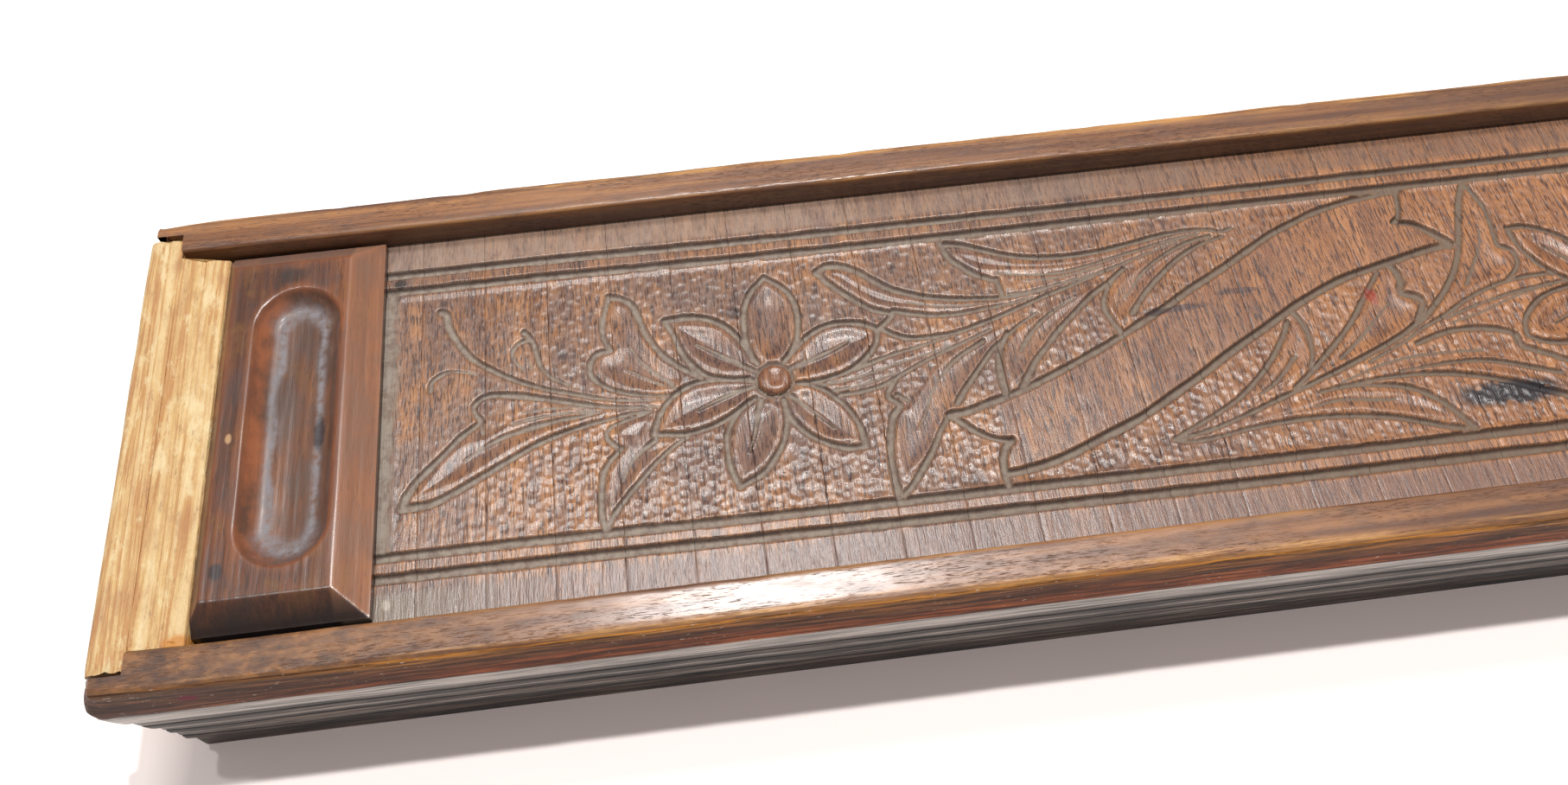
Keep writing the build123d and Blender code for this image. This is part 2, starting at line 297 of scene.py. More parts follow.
# The petals, tip first, as closed outlines for the dished inside
PETALS = [
    [(-47, 15.2), (-49.4, 11.8), (-49.8, 8), (-49.3, 4.4), (-48.2, 2.6), (-46.4, 2.6), (-44.7, 4.4),
     (-43.9, 8), (-44.2, 11.8)],
    [(-33.6, 5.4), (-37, 6.8), (-40.5, 6.4), (-43.2, 4.4), (-45.2, 2.2), (-45, -0.4), (-41, -0.2),
     (-37.5, 0.9), (-34.6, 3.2)],
    [(-37.7, -10.4), (-38.5, -6.5), (-40.5, -3.7), (-43.3, -1.5), (-45.6, -2.2), (-45.8, -4.7),
     (-44.3, -7.3), (-41.8, -9.6)],
    [(-52.9, -13.8), (-53.7, -9.5), (-52.9, -5.8), (-51, -3.4), (-48.4, -3), (-47, -4.5), (-47.3, -7.5),
     (-49.4, -11.4)],
    [(-62.4, -5.6), (-61, -2.2), (-58.4, -0.1), (-54.5, 0.4), (-50.4, -0.2), (-50.6, -2.4), (-53.6, -4.1),
     (-57.5, -5.5)],
    [(-59.8, 10.1), (-58.7, 6.6), (-57.2, 3.9), (-54, 1.7), (-50.8, 1.5), (-50.3, 3.6), (-51.8, 6.2),
     (-54.4, 9)],
]
LEFT_SPRAY = [
    (1.3, 0.9, 0.5, [(-90, 15.9), (-89.2, 15.4), (-89, 13.7), (-87.8, 11), (-86, 8.3), (-84, 6.6)]),
    (0.9, 0.4, 0.5, [(-84, 6.6), (-81.7, 5), (-79, 3.5), (-76, 2.2), (-73, 1.2), (-70, 0.2), (-67, -0.5),
     (-64, -0.9), (-61.2, -1.1)]),
    (0.9, 0.3, 0.45, [(-91.2, 4), (-90.9, 5.4), (-89.3, 6.4), (-87.3, 6.3), (-85.2, 5.6)]),
    (0.8, 1.1, 0.5, [(-85.4, -0.2), (-85.7, 1), (-84.4, 2.2), (-82.3, 2.3), (-79.7, 1.8)]),
    (1.1, 0.4, 0.5, [(-79.7, 1.8), (-76, 0.8), (-72.3, -0.3), (-69, -1.2), (-65.7, -1.7), (-62.4, -2)]),
    (0.9, 1.2, 0.5, [(-85.4, -0.2), (-84.8, -1.2), (-85.8, -2.1), (-87.3, -3.2), (-89, -5), (-91, -7),
     (-92.7, -8.8), (-93.9, -10.7), (-94.3, -12)]),
    (0.8, 0.4, 0.45, [(-84.8, -1.2), (-84.5, -3.2)]),
    (1.3, 0.9, 0.5, [(-94.3, -12.1), (-91, -11.9), (-88, -10.7), (-84.3, -8.8), (-81, -7), (-78.3, -5.6)]),
    (0.9, 0.5, 0.5, [(-78.3, -5.6), (-75.7, -4.6), (-72.3, -3.7), (-69, -3.1), (-65.7, -2.6),
     (-63.2, -2.5)]),
    (0.3, 1.0, 0.4, [(-86.8, -6.5), (-84.3, -5), (-81.7, -3.8), (-78.3, -2.9)]),
    (1.0, 0.4, 0.4, [(-78.3, -2.9), (-75, -2.4), (-72, -2.2), (-69.7, -1.9)]),
    (0.5, 0.4, 0.35, [(-80.8, -2.2), (-77.7, -1.7), (-74.3, -1.5), (-71.7, -1.6), (-70, -1.8)]),
    (0.35, 0.3, 0.3, [(-79.5, -0.7), (-76.3, -0.6), (-73, -0.8), (-69.7, -1.3), (-65.7, -2.1)]),
    (0.4, 1.0, 0.5, [(-73.5, 2.5), (-75.7, 4), (-77, 5.7), (-77.6, 8), (-78.1, 9.9), (-79.1, 11.3)]),
    (0.9, 0.3, 0.45, [(-78.3, 10.1), (-79.7, 9.7), (-80.6, 8.6), (-80.5, 7.3), (-79.8, 6.2), (-79, 5.2)]),
    (0.3, 0.4, 0.3, [(-78.9, 7.2), (-78.2, 5.6)]),
    (0.5, 1.0, 0.5, [(-60.4, -0.7), (-64, -0.2), (-67, 0.7), (-69.1, 1.9), (-70.6, 3.6), (-70.7, 5.3),
     (-69.8, 6.7), (-68, 7.1)]),
    (0.9, 0.9, 0.45, [(-68, 7.1), (-68.8, 9.2), (-68.8, 11.5), (-68.3, 13.7), (-67.8, 15.4)]),
    (1.1, 1.0, 0.5, [(-67.8, 15.4), (-66.1, 14.8), (-64.8, 13.6), (-64, 11.3), (-63.4, 9.3), (-62.3, 7),
     (-61, 5.1), (-59, 3.2), (-56.7, 1.7)]),
    (0.3, 0.7, 0.35, [(-65.5, 7.3), (-64.2, 4.9), (-62.3, 2.8), (-60.3, 0.8)]),
    (0.3, 0.4, 0.3, [(-66.4, 4.1), (-63.7, 2.3), (-61.3, 0.8), (-59.7, 0.1)]),
    (0.5, 0.9, 0.45, [(-59, -6.8), (-61, -8), (-63, -9.7), (-65, -11.8), (-67, -14), (-68.6, -16),
     (-69.6, -17.8)]),
    (0.8, 0.4, 0.4, [(-63, -6.7), (-65, -8.1), (-66.7, -10), (-67.4, -11.8)]),
    (0.4, 0.9, 0.5, [(-63.5, -2.7), (-67, -3.6), (-68.6, -4.3), (-69.1, -5.4), (-68.4, -6.6),
     (-67.4, -7.3)]),
    (0.9, 1.0, 0.5, [(-67.4, -7.3), (-68.8, -8.8), (-69.8, -10.6), (-70.1, -13), (-70.2, -15.7),
     (-69.8, -18)]),
]
MIDDLE = [
    (1.3, 0.9, 0.55, [(-40, 15.6), (-38.6, 16.4), (-36.7, 16.2), (-34.7, 15.2), (-33, 13.7), (-31, 12),
     (-28.7, 10.8), (-26, 9.8), (-23, 9.1)]),
    (0.9, 0.5, 0.5, [(-23, 9.1), (-20, 8.7), (-16.7, 8.4), (-13.3, 8.5), (-10.3, 8.9)]),
    (1.1, 0.9, 0.5, [(-40, 15.6), (-38.7, 13.8), (-37, 12), (-35, 10.1), (-33.2, 8.7), (-30.9, 7.9)]),
    (1.0, 0.4, 0.45, [(-30.7, 8.2), (-28, 7.4), (-25.3, 6.8), (-22, 6.7), (-18.7, 7), (-15.3, 7.3),
     (-12, 8)]),
    (0.4, 0.3, 0.3, [(-28.7, 9.3), (-25.3, 8.2), (-22, 7.8), (-18.7, 7.7)]),
    (1.0, 0.9, 0.5, [(-33.4, 5.6), (-32, 6.6), (-30.8, 7.8)]),
    (0.9, 0.7, 0.5, [(-32.4, 5.5), (-30.3, 4.1), (-28, 3.7), (-25.3, 3.7), (-22.7, 4), (-20, 4.7),
     (-17, 5.6), (-13.7, 6.8), (-10.3, 8)]),
    (0.7, 0.4, 0.45, [(-10.3, 8), (-7, 9), (-4, 10), (0, 11.3), (5, 12.9), (9, 14.1)]),
    (0.8, 0.4, 0.45, [(-38.2, -0.3), (-35.3, 0.7), (-32, 1.6), (-28.7, 2.3), (-25.7, 3), (-22.5, 3.8)]),
    (0.5, 0.4, 0.4, [(-42, -1.6), (-38.7, -1.4), (-36, -0.9), (-33.3, -0.2), (-30.7, 0.4), (-28, 1),
     (-24.3, 2)]),
    (0.5, 0.4, 0.4, [(-40, -2.6), (-37, -2.4), (-34.3, -1.8), (-32, -1.2)]),
    (0.8, 0.5, 0.45, [(-39.3, -3.3), (-36.7, -3.2), (-34, -2.7), (-32, -1.8), (-29.3, -0.5), (-26.7, 0.7),
     (-23.7, 1.8), (-21, 2.8), (-18.7, 3.7)]),
    (0.8, 1.1, 0.5, [(-32, -1.8), (-33.2, -3.5), (-33.3, -4.5), (-32.1, -5.8), (-33.1, -7), (-33.8, -9)]),
    (1.1, 1.2, 0.5, [(-33.8, -9), (-34.3, -11.7), (-34.5, -14.3), (-34.3, -18)]),
    (0.7, 0.5, 0.6, [(-32.3, -4.2), (-30.9, -5.4)]),
    (0.5, 1.0, 0.5, [(-12.2, 5.4), (-14.7, 4), (-17, 2.3), (-18.7, 1), (-20.3, -0.7), (-22, -2.7),
     (-23.7, -4.7), (-24.9, -6.4)]),
    (0.9, 0.9, 0.5, [(-26.3, -8), (-27.7, -10), (-29, -12.3), (-30.7, -14.7), (-32.3, -16.8), (-33.6, -18)]),
    (0.7, 0.3, 0.4, [(-20, 2.1), (-23.3, 0.3), (-25.7, -1.7), (-27.7, -4.3), (-29, -7), (-30.4, -9.5)]),
    (0.9, 1.3, 0.5, [(-16.6, 2.9), (-18, 0.8), (-18.5, -1.3), (-18.7, -3.7), (-18.5, -6)]),
    (0.9, 1.1, 0.5, [(-2, 8.8), (-4.3, 7.3), (-7.3, 4.8), (-10, 2.4), (-12, 0.3), (-14, -1.8), (-15.3, -3.7),
     (-16.5, -5.6)]),
    (0.4, 0.8, 0.4, [(-6.7, 7), (-9.3, 5.8), (-12, 4), (-13.8, 2.2), (-15.4, 0.2)]),
    (1.0, 0.9, 0.55, [(-22.6, 17.9), (-20.3, 17.5), (-17.3, 16.3), (-14.7, 15.2), (-12, 14.4), (-8.7, 13.9),
     (-5.3, 13.8), (-1.7, 14), (1.7, 14.5), (5, 15.1)]),
    (0.9, 0.6, 0.5, [(5, 15.1), (8.3, 15.6), (11.7, 15.7), (13.7, 15.5), (15.3, 15), (16.8, 15.3)]),
    (1.1, 1.0, 0.5, [(-22.8, 18.2), (-22, 15.7), (-20.3, 13.7), (-18.7, 12.3), (-16.4, 11.2)]),
    (1.0, 1.0, 0.5, [(-16.3, 11.4), (-16.2, 10.2), (-16, 8.8)]),
    (0.4, 0.6, 0.4, [(-16.3, 12.3), (-13.7, 11.7), (-10.3, 11.3), (-7, 11.3), (-4, 11.8), (-1.7, 12.3),
     (3.3, 13.4), (8.3, 14.5), (12, 15)]),
    (0.3, 0.4, 0.3, [(-13, 10.7), (-9.3, 10.5), (-5.3, 10.9), (-2, 11.6)]),
    (0.6, 0.4, 0.4, [(-15.3, 8.7), (-12, 8.9), (-8.7, 9.4), (-5.3, 10.1), (-1.7, 10.9), (2, 12)]),
    (0.8, 0.4, 0.45, [(13.5, 14.5), (10, 13.7), (6.3, 12), (3.3, 10), (1.7, 8.3), (-0.2, 6.2)]),
    (0.7, 1.0, 0.45, [(15.2, 14.2), (11.7, 13.2), (8.3, 11.4), (5.7, 9.4), (3.3, 7.3), (1.7, 5.6),
     (0.2, 3.8)]),
    (0.5, 1.2, 0.5, [(0.7, 10.8), (-1.3, 8.9), (-2.7, 7), (-3.2, 5), (-2.7, 3), (-2, 0.9)]),
    (0.9, 0.8, 0.5, [(-5, 6.8), (-3, 8.1), (-0.7, 9.7), (0.7, 10.8)]),
]
RIBBON = [
    (1.2, 1.2, 0.6, [(-26.3, -7.9), (-23.7, -7.7), (-21, -6.9), (-18.3, -6.2), (-15.3, -5.2), (-12, -3.9),
     (-8.7, -2.5), (-5.3, -1), (-1.7, 0.8), (1.7, 2.6), (5, 4.3), (8.3, 6.2), (11.7, 8), (15, 9.8),
     (18.3, 11.7), (21.7, 13.6), (25, 15), (28.3, 16.3), (31.7, 17.2), (35, 17.8), (38.3, 18.2),
     (41, 18.4)]),
    (0.9, 0.9, 0.55, [(40.9, 18.6), (40.3, 16), (39.7, 14.2), (38.6, 13.3)]),
    (0.9, 1.7, 0.65, [(38.6, 13.3), (41, 12.7), (42.7, 11.4), (44.2, 9.8), (44.7, 8.8)]),
    (1.2, 1.2, 0.6, [(45.2, 8.9), (43.3, 8.7), (40, 8.1), (36.7, 7.3), (33.3, 6.5), (30, 5.7), (26.7, 4.5),
     (23.3, 3), (20, 1.3), (16.7, -0.6), (13.3, -2.4), (10, -4.3), (6.7, -6.3), (3.3, -8.2), (0, -10),
     (-3.3, -11.7), (-8.7, -13.8), (-12, -15.1), (-15.3, -16.1), (-18.7, -16.7), (-20.6, -16.8)]),
    (1.1, 1.1, 0.55, [(-20.8, -18.9), (-21, -16.7), (-20.8, -14.7), (-20.1, -13.2), (-19.3, -12.5)]),
    (0.8, 1.2, 0.6, [(-19.3, -12.5), (-21.3, -11.9), (-23.3, -10.7), (-25, -9.1), (-26.2, -7.9)]),
]
RIGHT_SPRAY = [
    (0.6, 1.0, 0.5, [(0.5, -14.9), (3.7, -13.5), (7, -12), (10, -10.4), (12.7, -8.4), (15, -6.3), (17, -4.1),
     (18.7, -1.8), (19.5, -0.2)]),
    (1.1, 0.6, 0.5, [(20.8, 1), (21.5, -0.7), (21.7, -3), (21.3, -5.2), (20.3, -7.4)]),
    (0.9, 0.4, 0.4, [(18.8, -5.5), (17, -7.3), (15, -9), (12.8, -10.2)]),
    (0.6, 1.0, 0.5, [(0.5, -15), (5, -14.3), (8.3, -13.4), (11.7, -12.3), (15, -11.1), (18.3, -10),
     (21.7, -8.8), (25, -7.6), (28.3, -6.3), (31, -5.2), (33.7, -4)]),
    (1.0, 1.1, 0.5, [(33.7, -4), (37.3, -1.8), (40, 0.4), (42.7, 3.2), (44.7, 6), (46.3, 9.4), (47.7, 13),
     (49, 16), (50.4, 18.5)]),
    (0.9, 0.9, 0.5, [(33.7, 5.7), (32, 3.7), (30.3, 1.7), (28.3, -0.7), (26, -3), (23.7, -5), (21.3, -7),
     (19.3, -8.6), (17.6, -9.8)]),
    (1.2, 1.3, 0.6, [(35.4, 7), (36.2, 5.7), (36.3, 3.9), (35.7, 2.4), (37.4, 1.5)]),
    (1.3, 1.0, 0.6, [(37.4, 1.5), (38, 0.6), (37.3, -0.8), (36.4, -2)]),
    (0.4, 0.7, 0.4, [(33.3, 0.7), (31, -1.3), (28.7, -3.3), (26.3, -5.2), (24.6, -6.4)]),
    (0.6, 0.8, 0.45, [(28, -7.4), (33.3, -5.1), (36.7, -3.3), (40, -1.9), (43.3, -0.1), (46.7, 1.3),
     (50, 2.2), (53.3, 2.6), (56.5, 2.6)]),
    (0.5, 0.7, 0.45, [(40, -2.4), (43.3, -1.3), (46.7, -0.4), (50, 0.3), (53.3, 0.8), (57.6, 1.3)]),
    (0.4, 0.4, 0.35, [(40.5, -3.1), (45, -2), (50, -0.3), (55.3, 0.9)]),
    (0.4, 0.5, 0.4, [(23.5, -9.9), (26.7, -8.8), (30, -7.9), (33.3, -7.4), (36.7, -7.3), (40, -7.4),
     (42.6, -7.6)]),
    (0.6, 1.1, 0.5, [(22, -10.5), (25, -10.2), (28.3, -9.9), (31.7, -9.8), (35, -10), (38.3, -10.5),
     (41.7, -11.4), (45, -12.6), (47.3, -13.7), (50, -14.9), (53, -16.2)]),
    (0.4, 0.9, 0.45, [(31.3, -9.2), (35, -9), (39, -8.8), (42, -9), (45, -9.7), (48, -10.8), (51.3, -12)]),
    (0.9, 1.2, 0.5, [(35, -5.5), (38, -4.6), (40.3, -4.2), (42.3, -4.2), (44.7, -4.5), (46.7, -5.1),
     (47.8, -5.9), (47.7, -7), (48.3, -7.8)]),
    (1.2, 0.9, 0.5, [(48.3, -7.8), (50, -8.7), (52, -9.8), (54.5, -11.4)]),
    (0.6, 1.2, 0.5, [(20.5, -10.8), (24, -10.4), (27, -10.6), (30, -11.1), (32.3, -11.9), (34.4, -13.5),
     (36, -15.4), (37.5, -18)]),
    (0.6, 1.0, 0.5, [(0.5, -15), (2.7, -15.5), (6, -15.3), (10, -14.7), (15, -14.3), (20, -14.3),
     (24.3, -14.7), (27.7, -15.3), (31, -16.3), (33.7, -17.3), (36.5, -18.1)]),
    (0.4, 0.6, 0.4, [(19, -12.8), (21.7, -12.3), (24.3, -12.4), (27, -12.8), (29.2, -13)]),
    (1.0, 0.9, 0.5, [(50.5, 18.4), (51.3, 16), (51.7, 13.7), (51.5, 11.3), (51.2, 9.2), (51.1, 7.9)]),
    (0.9, 0.7, 0.5, [(51.1, 7.9), (52.6, 6.8), (52.7, 5.1), (51.7, 3.6), (50.2, 2.4)]),
    (0.4, 0.7, 0.4, [(49.5, 10.4), (48.7, 8.3), (47.3, 6.1), (45.8, 4), (44.6, 2.3)]),
]
# The leaves, as closed outlines for the dished inside
LEAVES = [
    [(-93.6, -11.4), (-88, -4.7), (-84, -3.4), (-79, -1.2), (-71, -1.4), (-64.5, -2.1), (-71, -3),
     (-79, -5.2), (-87, -9.4)],
    [(-67.4, 14.6), (-65.2, 13.2), (-64, 9.4), (-61.6, 5.3), (-58.4, 1.8), (-61, -0.2), (-66.5, 1),
     (-69.7, 3.8), (-69.4, 6.1), (-67.4, 7.4), (-68.2, 11)],
    [(-69.4, -16.8), (-69.4, -12), (-68.4, -9.2), (-66.8, -7.2), (-68, -5.6), (-66.4, -4), (-63.6, -3.6),
     (-63.4, -6.4), (-60.4, -7.4), (-64.4, -10.8)],
    [(-39.2, 15.2), (-36.8, 15.5), (-33.6, 12.8), (-29.5, 10.4), (-23.5, 8.4), (-16, 7.7), (-23, 7.2),
     (-30, 8.3), (-33.8, 9.8)],
    [(-22, 16.8), (-18.2, 15.8), (-13, 13.8), (-6, 13.2), (1, 13.8), (8, 14.9), (0, 12.4), (-7, 11.6),
     (-14.5, 12.2), (-19, 13.2)],
    [(-33.6, -16.6), (-33.8, -11.5), (-32.6, -7), (-30.6, -5.6), (-26.5, -0.6), (-20.5, 2.8), (-13.5, 5),
     (-19, 0.2), (-24, -5.6), (-28.5, -12.2)],
    [(-17.8, -5), (-17.9, -1), (-16, 2.6), (-10, 5.9), (-3.5, 8.2), (-9.5, 2), (-14.4, -2.8)],
    [(-2, 2), (-2.6, 5.6), (0.6, 9.6), (6.6, 12.6), (13, 14.3), (6.5, 9.6), (0.6, 3.8)],
    [(36.8, -17.4), (33.4, -13.4), (29, -11.6), (22, -11.2), (10, -14), (22, -13.8), (30, -15.5)],
    [(21, 0.4), (20.8, -5), (19, -8), (12, -10.8), (4.5, -13.8), (11.5, -10.2), (16, -6.2), (19.8, -1)],
    [(35, 6.2), (35.6, 3.6), (35.4, 1.6), (37, 0), (35.6, -2.6), (29, -6), (20.5, -8.6), (27, -2.8),
     (32, 2.6)],
    [(50.2, 17.4), (51, 13), (50.4, 7.4), (51.8, 5.2), (50.4, 3), (44, 1), (37, -2.8), (43, 2.8),
     (46.8, 8.4)],
    [(52.4, -15.6), (49, -10.8), (42, -8.2), (33, -8.4), (27, -9.4), (35, -9.5), (44, -11.7)],
]
SYMMETRY = (8.1, -0.25)  # the picture repeats turned half round about this point
TURNED_LEAVES = 3  # the first leaves belong to the left spray, which comes again at the right
FLOWER_MIDDLE = (-47.4, -0.1)
FIELD_LEFT, FIELD_NEAR, FIELD_FAR = -95.5, -18.4, 18.6  # the punched ground inside the borders
RIBBON_LEFT, RIBBON_RIGHT = -20.5, 42.5
STRIP_LEFT, STRIP_RIGHT = -97.6, -94.9  # dust beside the finger block
STRIP_NEAR, STRIP_FAR = -18.8, 20.2
MARK_SPACING = 1.16  # of the punch marks
MARKS_LEFT, MARKS_NEAR, MARKS_LENGTH, MARKS_WIDTH = -96, -18.6, 212, 38
BOSS_RADIUS = 2.15
BOSS_DITCH = 0.9  # width of the cut round a boss
BOSS_FLOOR = -0.55


def turned(points):
    """The same points turned half round about the middle of the picture."""
    return [(2 * SYMMETRY[0] - x, 2 * SYMMETRY[1] - y) for x, y in points]


def slat_edges(number):
    """Left and right edges of a slat on the flat, counted from 0."""
    left = FIRST_SLAT_LEFT + number * PITCH
    return left + HAIRLINE / 2, left + PITCH - HAIRLINE / 2


COLUMNS = int(round((PITCH - HAIRLINE) / CELL)) + 1
ROWS = int(round(2 * SLAT_HALF / CELL)) + 1
GRID_X = np.concatenate([np.linspace(*slat_edges(n), COLUMNS) for n in range(FLAT_SLATS)])
GRID_Y = np.linspace(-SLAT_HALF, SLAT_HALF, ROWS)


def empty_grid():
    """Zeros over the whole lid."""
    return np.zeros((len(GRID_X), len(GRID_Y)))


def window(points, reach):
    """The part of the grid within reach of some points, as slices, and its places along x and y."""
    low, high = np.min(points, axis=0) - reach, np.max(points, axis=0) + reach
    columns = slice(*np.searchsorted(GRID_X, (low[0], high[0])))
    rows = slice(*np.searchsorted(GRID_Y, (low[1], high[1])))
    return (columns, rows), GRID_X[columns, None], GRID_Y[None, rows]


def to_line(x, y, a, b):
    """How far each place is from the line between two points, and the share of it at the nearest point."""
    along = b - a
    t = clamped(((x - a[0]) * along[0] + (y - a[1]) * along[1]) / max(along @ along, 1e-9))
    return np.hypot(x - a[0] - t * along[0], y - a[1] - t * along[1]), t


def cut_groove(depths, share, cut):
    """Deepens the grid along one cut; share holds how far into a groove each place lies."""
    width_start, width_end, depth, points = cut
    line = smooth_curve(points)
    wobble = smooth_noise(line[:, 0], line[:, 1], 2.2, 2.2, 5)
    widths = np.linspace(width_start, width_end, len(line)) * (1 + 0.10 * wobble)
    for a, b, width_a, width_b in zip(line[:-1], line[1:], widths[:-1], widths[1:]):
        part, x, y = window((a, b), max(width_a, width_b) / 2)
        away, t = to_line(x, y, a, b)
        half = (width_a + t * (width_b - width_a)) / 2
        fall = clamped(1 - (away / half) ** 3) ** 0.9
        depths[part] = np.maximum(depths[part], fall * 1.15 * depth * np.minimum(half / 0.42, 1.0))
        share[part] = np.maximum(share[part], fall)


def inside_distance(outline, x, y):
    """How far inside a closed outline each place lies, 0 outside."""
    line = smooth_curve(outline + outline[:1], 0.5)
    nearest = np.full(np.broadcast(x, y).shape, np.inf)
    crossings = np.zeros(nearest.shape, int)
    for a, b in zip(line[:-1], line[1:]):
        nearest = np.minimum(nearest, to_line(x, y, a, b)[0])
        if a[1] != b[1]:
            meets = (y > a[1]) != (y > b[1])
            crossings += meets & (x < a[0] + (y - a[1]) / (b[1] - a[1]) * (b[0] - a[0]))
    return np.where(crossings % 2 == 1, nearest, 0.0)


def punch_marks():
    """Depths of the round punch marks in uneven rows, fainter at the left and far from the viewer."""
    dents = empty_grid()
    dice = np.random.default_rng(11)
    for i in range(int(MARKS_LENGTH / MARK_SPACING)):
        for j in range(int(MARKS_WIDTH / MARK_SPACING)):
            px = MARKS_LEFT + i * MARK_SPACING + dice.uniform(-0.3, 0.3)
            py = MARKS_NEAR + (j + 0.5 * (i % 2)) * MARK_SPACING + dice.uniform(-0.3, 0.3)
            size = dice.uniform(0.55, 0.80)
            deep = dice.uniform(0.55, 1.0)
            strength = 0.15 + 0.85 * soft_step((px + 92) / 22) * (0.4 + 0.6 * soft_step((8 - py) / 16))
            part, x, y = window([(px, py)], size)
            away = np.hypot(x - px, (y - py) * 0.9)
            dents[part] += 0.15 * deep * strength * clamped(1 - (away / size) ** 2) ** 1.3
    return np.minimum(dents, 0.30)


def make_relief():
    """Heights over the lid's flat, and masks for the looks."""
    x, y = GRID_X[:, None], GRID_Y[None, :]
    groove, share, figure, dish, boss = (empty_grid() for _ in range(5))

    cuts = BORDERS + FLOWER + PETAL_VEINS + LEFT_SPRAY + MIDDLE + RIBBON + RIGHT_SPRAY
    cuts += [(*sizes, turned(points)) for *sizes, points in FLOWER + PETAL_VEINS + LEFT_SPRAY]
    for cut in cuts:
        cut_groove(groove, share, cut)

    # petals and leaves are dished inside their outlines
    for outlines, again, depth, width in ((PETALS, PETALS, 0.55, 1.5),
                                          (LEAVES, LEAVES[:TURNED_LEAVES], 0.30, 1.2)):
        for outline in outlines + [turned(outline) for outline in again]:
            part, near_x, near_y = window(outline, 1)
            inside = inside_distance(outline, near_x, near_y)
            figure[part] = np.maximum(figure[part], soft_step(inside / 0.4))
            dish[part] = np.maximum(dish[part], depth * (1 - np.exp(-(inside / width) ** 2)))

    # the plain ribbon across the middle
    upper, lower = smooth_curve(RIBBON[0][3]), smooth_curve(RIBBON[3][3])[::-1]
    top, bottom = (np.interp(GRID_X, line[:, 0], line[:, 1])[:, None] for line in (upper, lower))
    figure = np.maximum(figure, between(y, bottom, top, 0.4) * between(x, RIBBON_LEFT, RIBBON_RIGHT, 0.6))

    # the ground between the figures is a little lower and punched all over
    field = between(y, FIELD_NEAR, FIELD_FAR, 0.5) * soft_step((x - FIELD_LEFT) / 0.6)
    ground = blurred(field * (1 - figure), 1.2)

    # the dusty strip beside the finger block, ragged at its right
    ragged = 0.5 * smooth_noise(x, y, 0.6, 1.8, 12) + 0.5 * smooth_noise(x, y, 2.0, 6.0, 13)
    strip = soft_step((x - STRIP_LEFT) / 0.3) * soft_step((STRIP_RIGHT - x + ragged) / 1.5)
    strip = strip * between(y, STRIP_NEAR, STRIP_FAR, 0.8)

    uncut = 1 - share
    height = -groove - 0.12 * ground * uncut - punch_marks() * ground * uncut - dish * uncut - 0.16 * strip

    # the raised boss in the middle of each flower
    for middle_x, middle_y in (FLOWER_MIDDLE, *turned([FLOWER_MIDDLE])):
        away = np.hypot(x - middle_x, y - middle_y)
        on_boss, near = away < BOSS_RADIUS, away < BOSS_RADIUS + BOSS_DITCH
        ring = soft_step((BOSS_RADIUS + BOSS_DITCH - away) / BOSS_DITCH)
        dome = np.sqrt(clamped(1 - (away / BOSS_RADIUS) ** 3))
        dimple = 0.30 * np.exp(-((x - middle_x - 0.2) / 0.8) ** 4 - ((y - middle_y - 0.2) / 1.1) ** 4)
        height = np.where(near, np.minimum(height, BOSS_FLOOR * ring), height)
        height = np.where(on_boss, BOSS_FLOOR + dome ** 0.6 - dimple, height)
        share = np.where(near & (away > BOSS_RADIUS), np.maximum(share, 0.8 * ring), share)
        share = np.where(on_boss, 0.0, share)
        boss = np.maximum(boss, on_boss)

    # fibres across the lid, old wear and slightly uneven slats
    uncut = 1 - share
    height = height + 0.014 * smooth_noise(x, y, 0.45, 5.0, 21) * uncut
    height = height - 0.05 * clamped(smooth_noise(x, y, 0.33, 2.2, 23) - 0.45) * uncut
    height = height + 0.02 * smooth_noise(x, y, 5.0, 6.0, 22)
    for n in range(FLAT_SLATS):
        columns = slice(n * COLUMNS, (n + 1) * COLUMNS)
        left, right = slat_edges(n)
        edge = np.minimum(x[columns] - left, right - x[columns])
        step = np.random.default_rng(300 + n).uniform(-0.012, 0.010)
        height[columns] = height[columns] + step - 0.05 * np.exp(-(edge / 0.12) ** 2)
    height = np.minimum(height, 0.55)

    # the wall mask is painted shade on the far walls of the cuts, which face away from the light
    rising = np.gradient(height, axis=1) / (GRID_Y[1] - GRID_Y[0])
    mean = blurred(height, 4.0)
    masks = {"dust": np.maximum(clamped(share ** 0.8), strip), "wear": clamped((height - mean) * 6.0),
             "hollow": clamped((mean - height) * 3.5), "figure": figure,
             "wall": clamped(rising - 0.35) * clamped(share * 3), "boss": boss}
    return height, masks


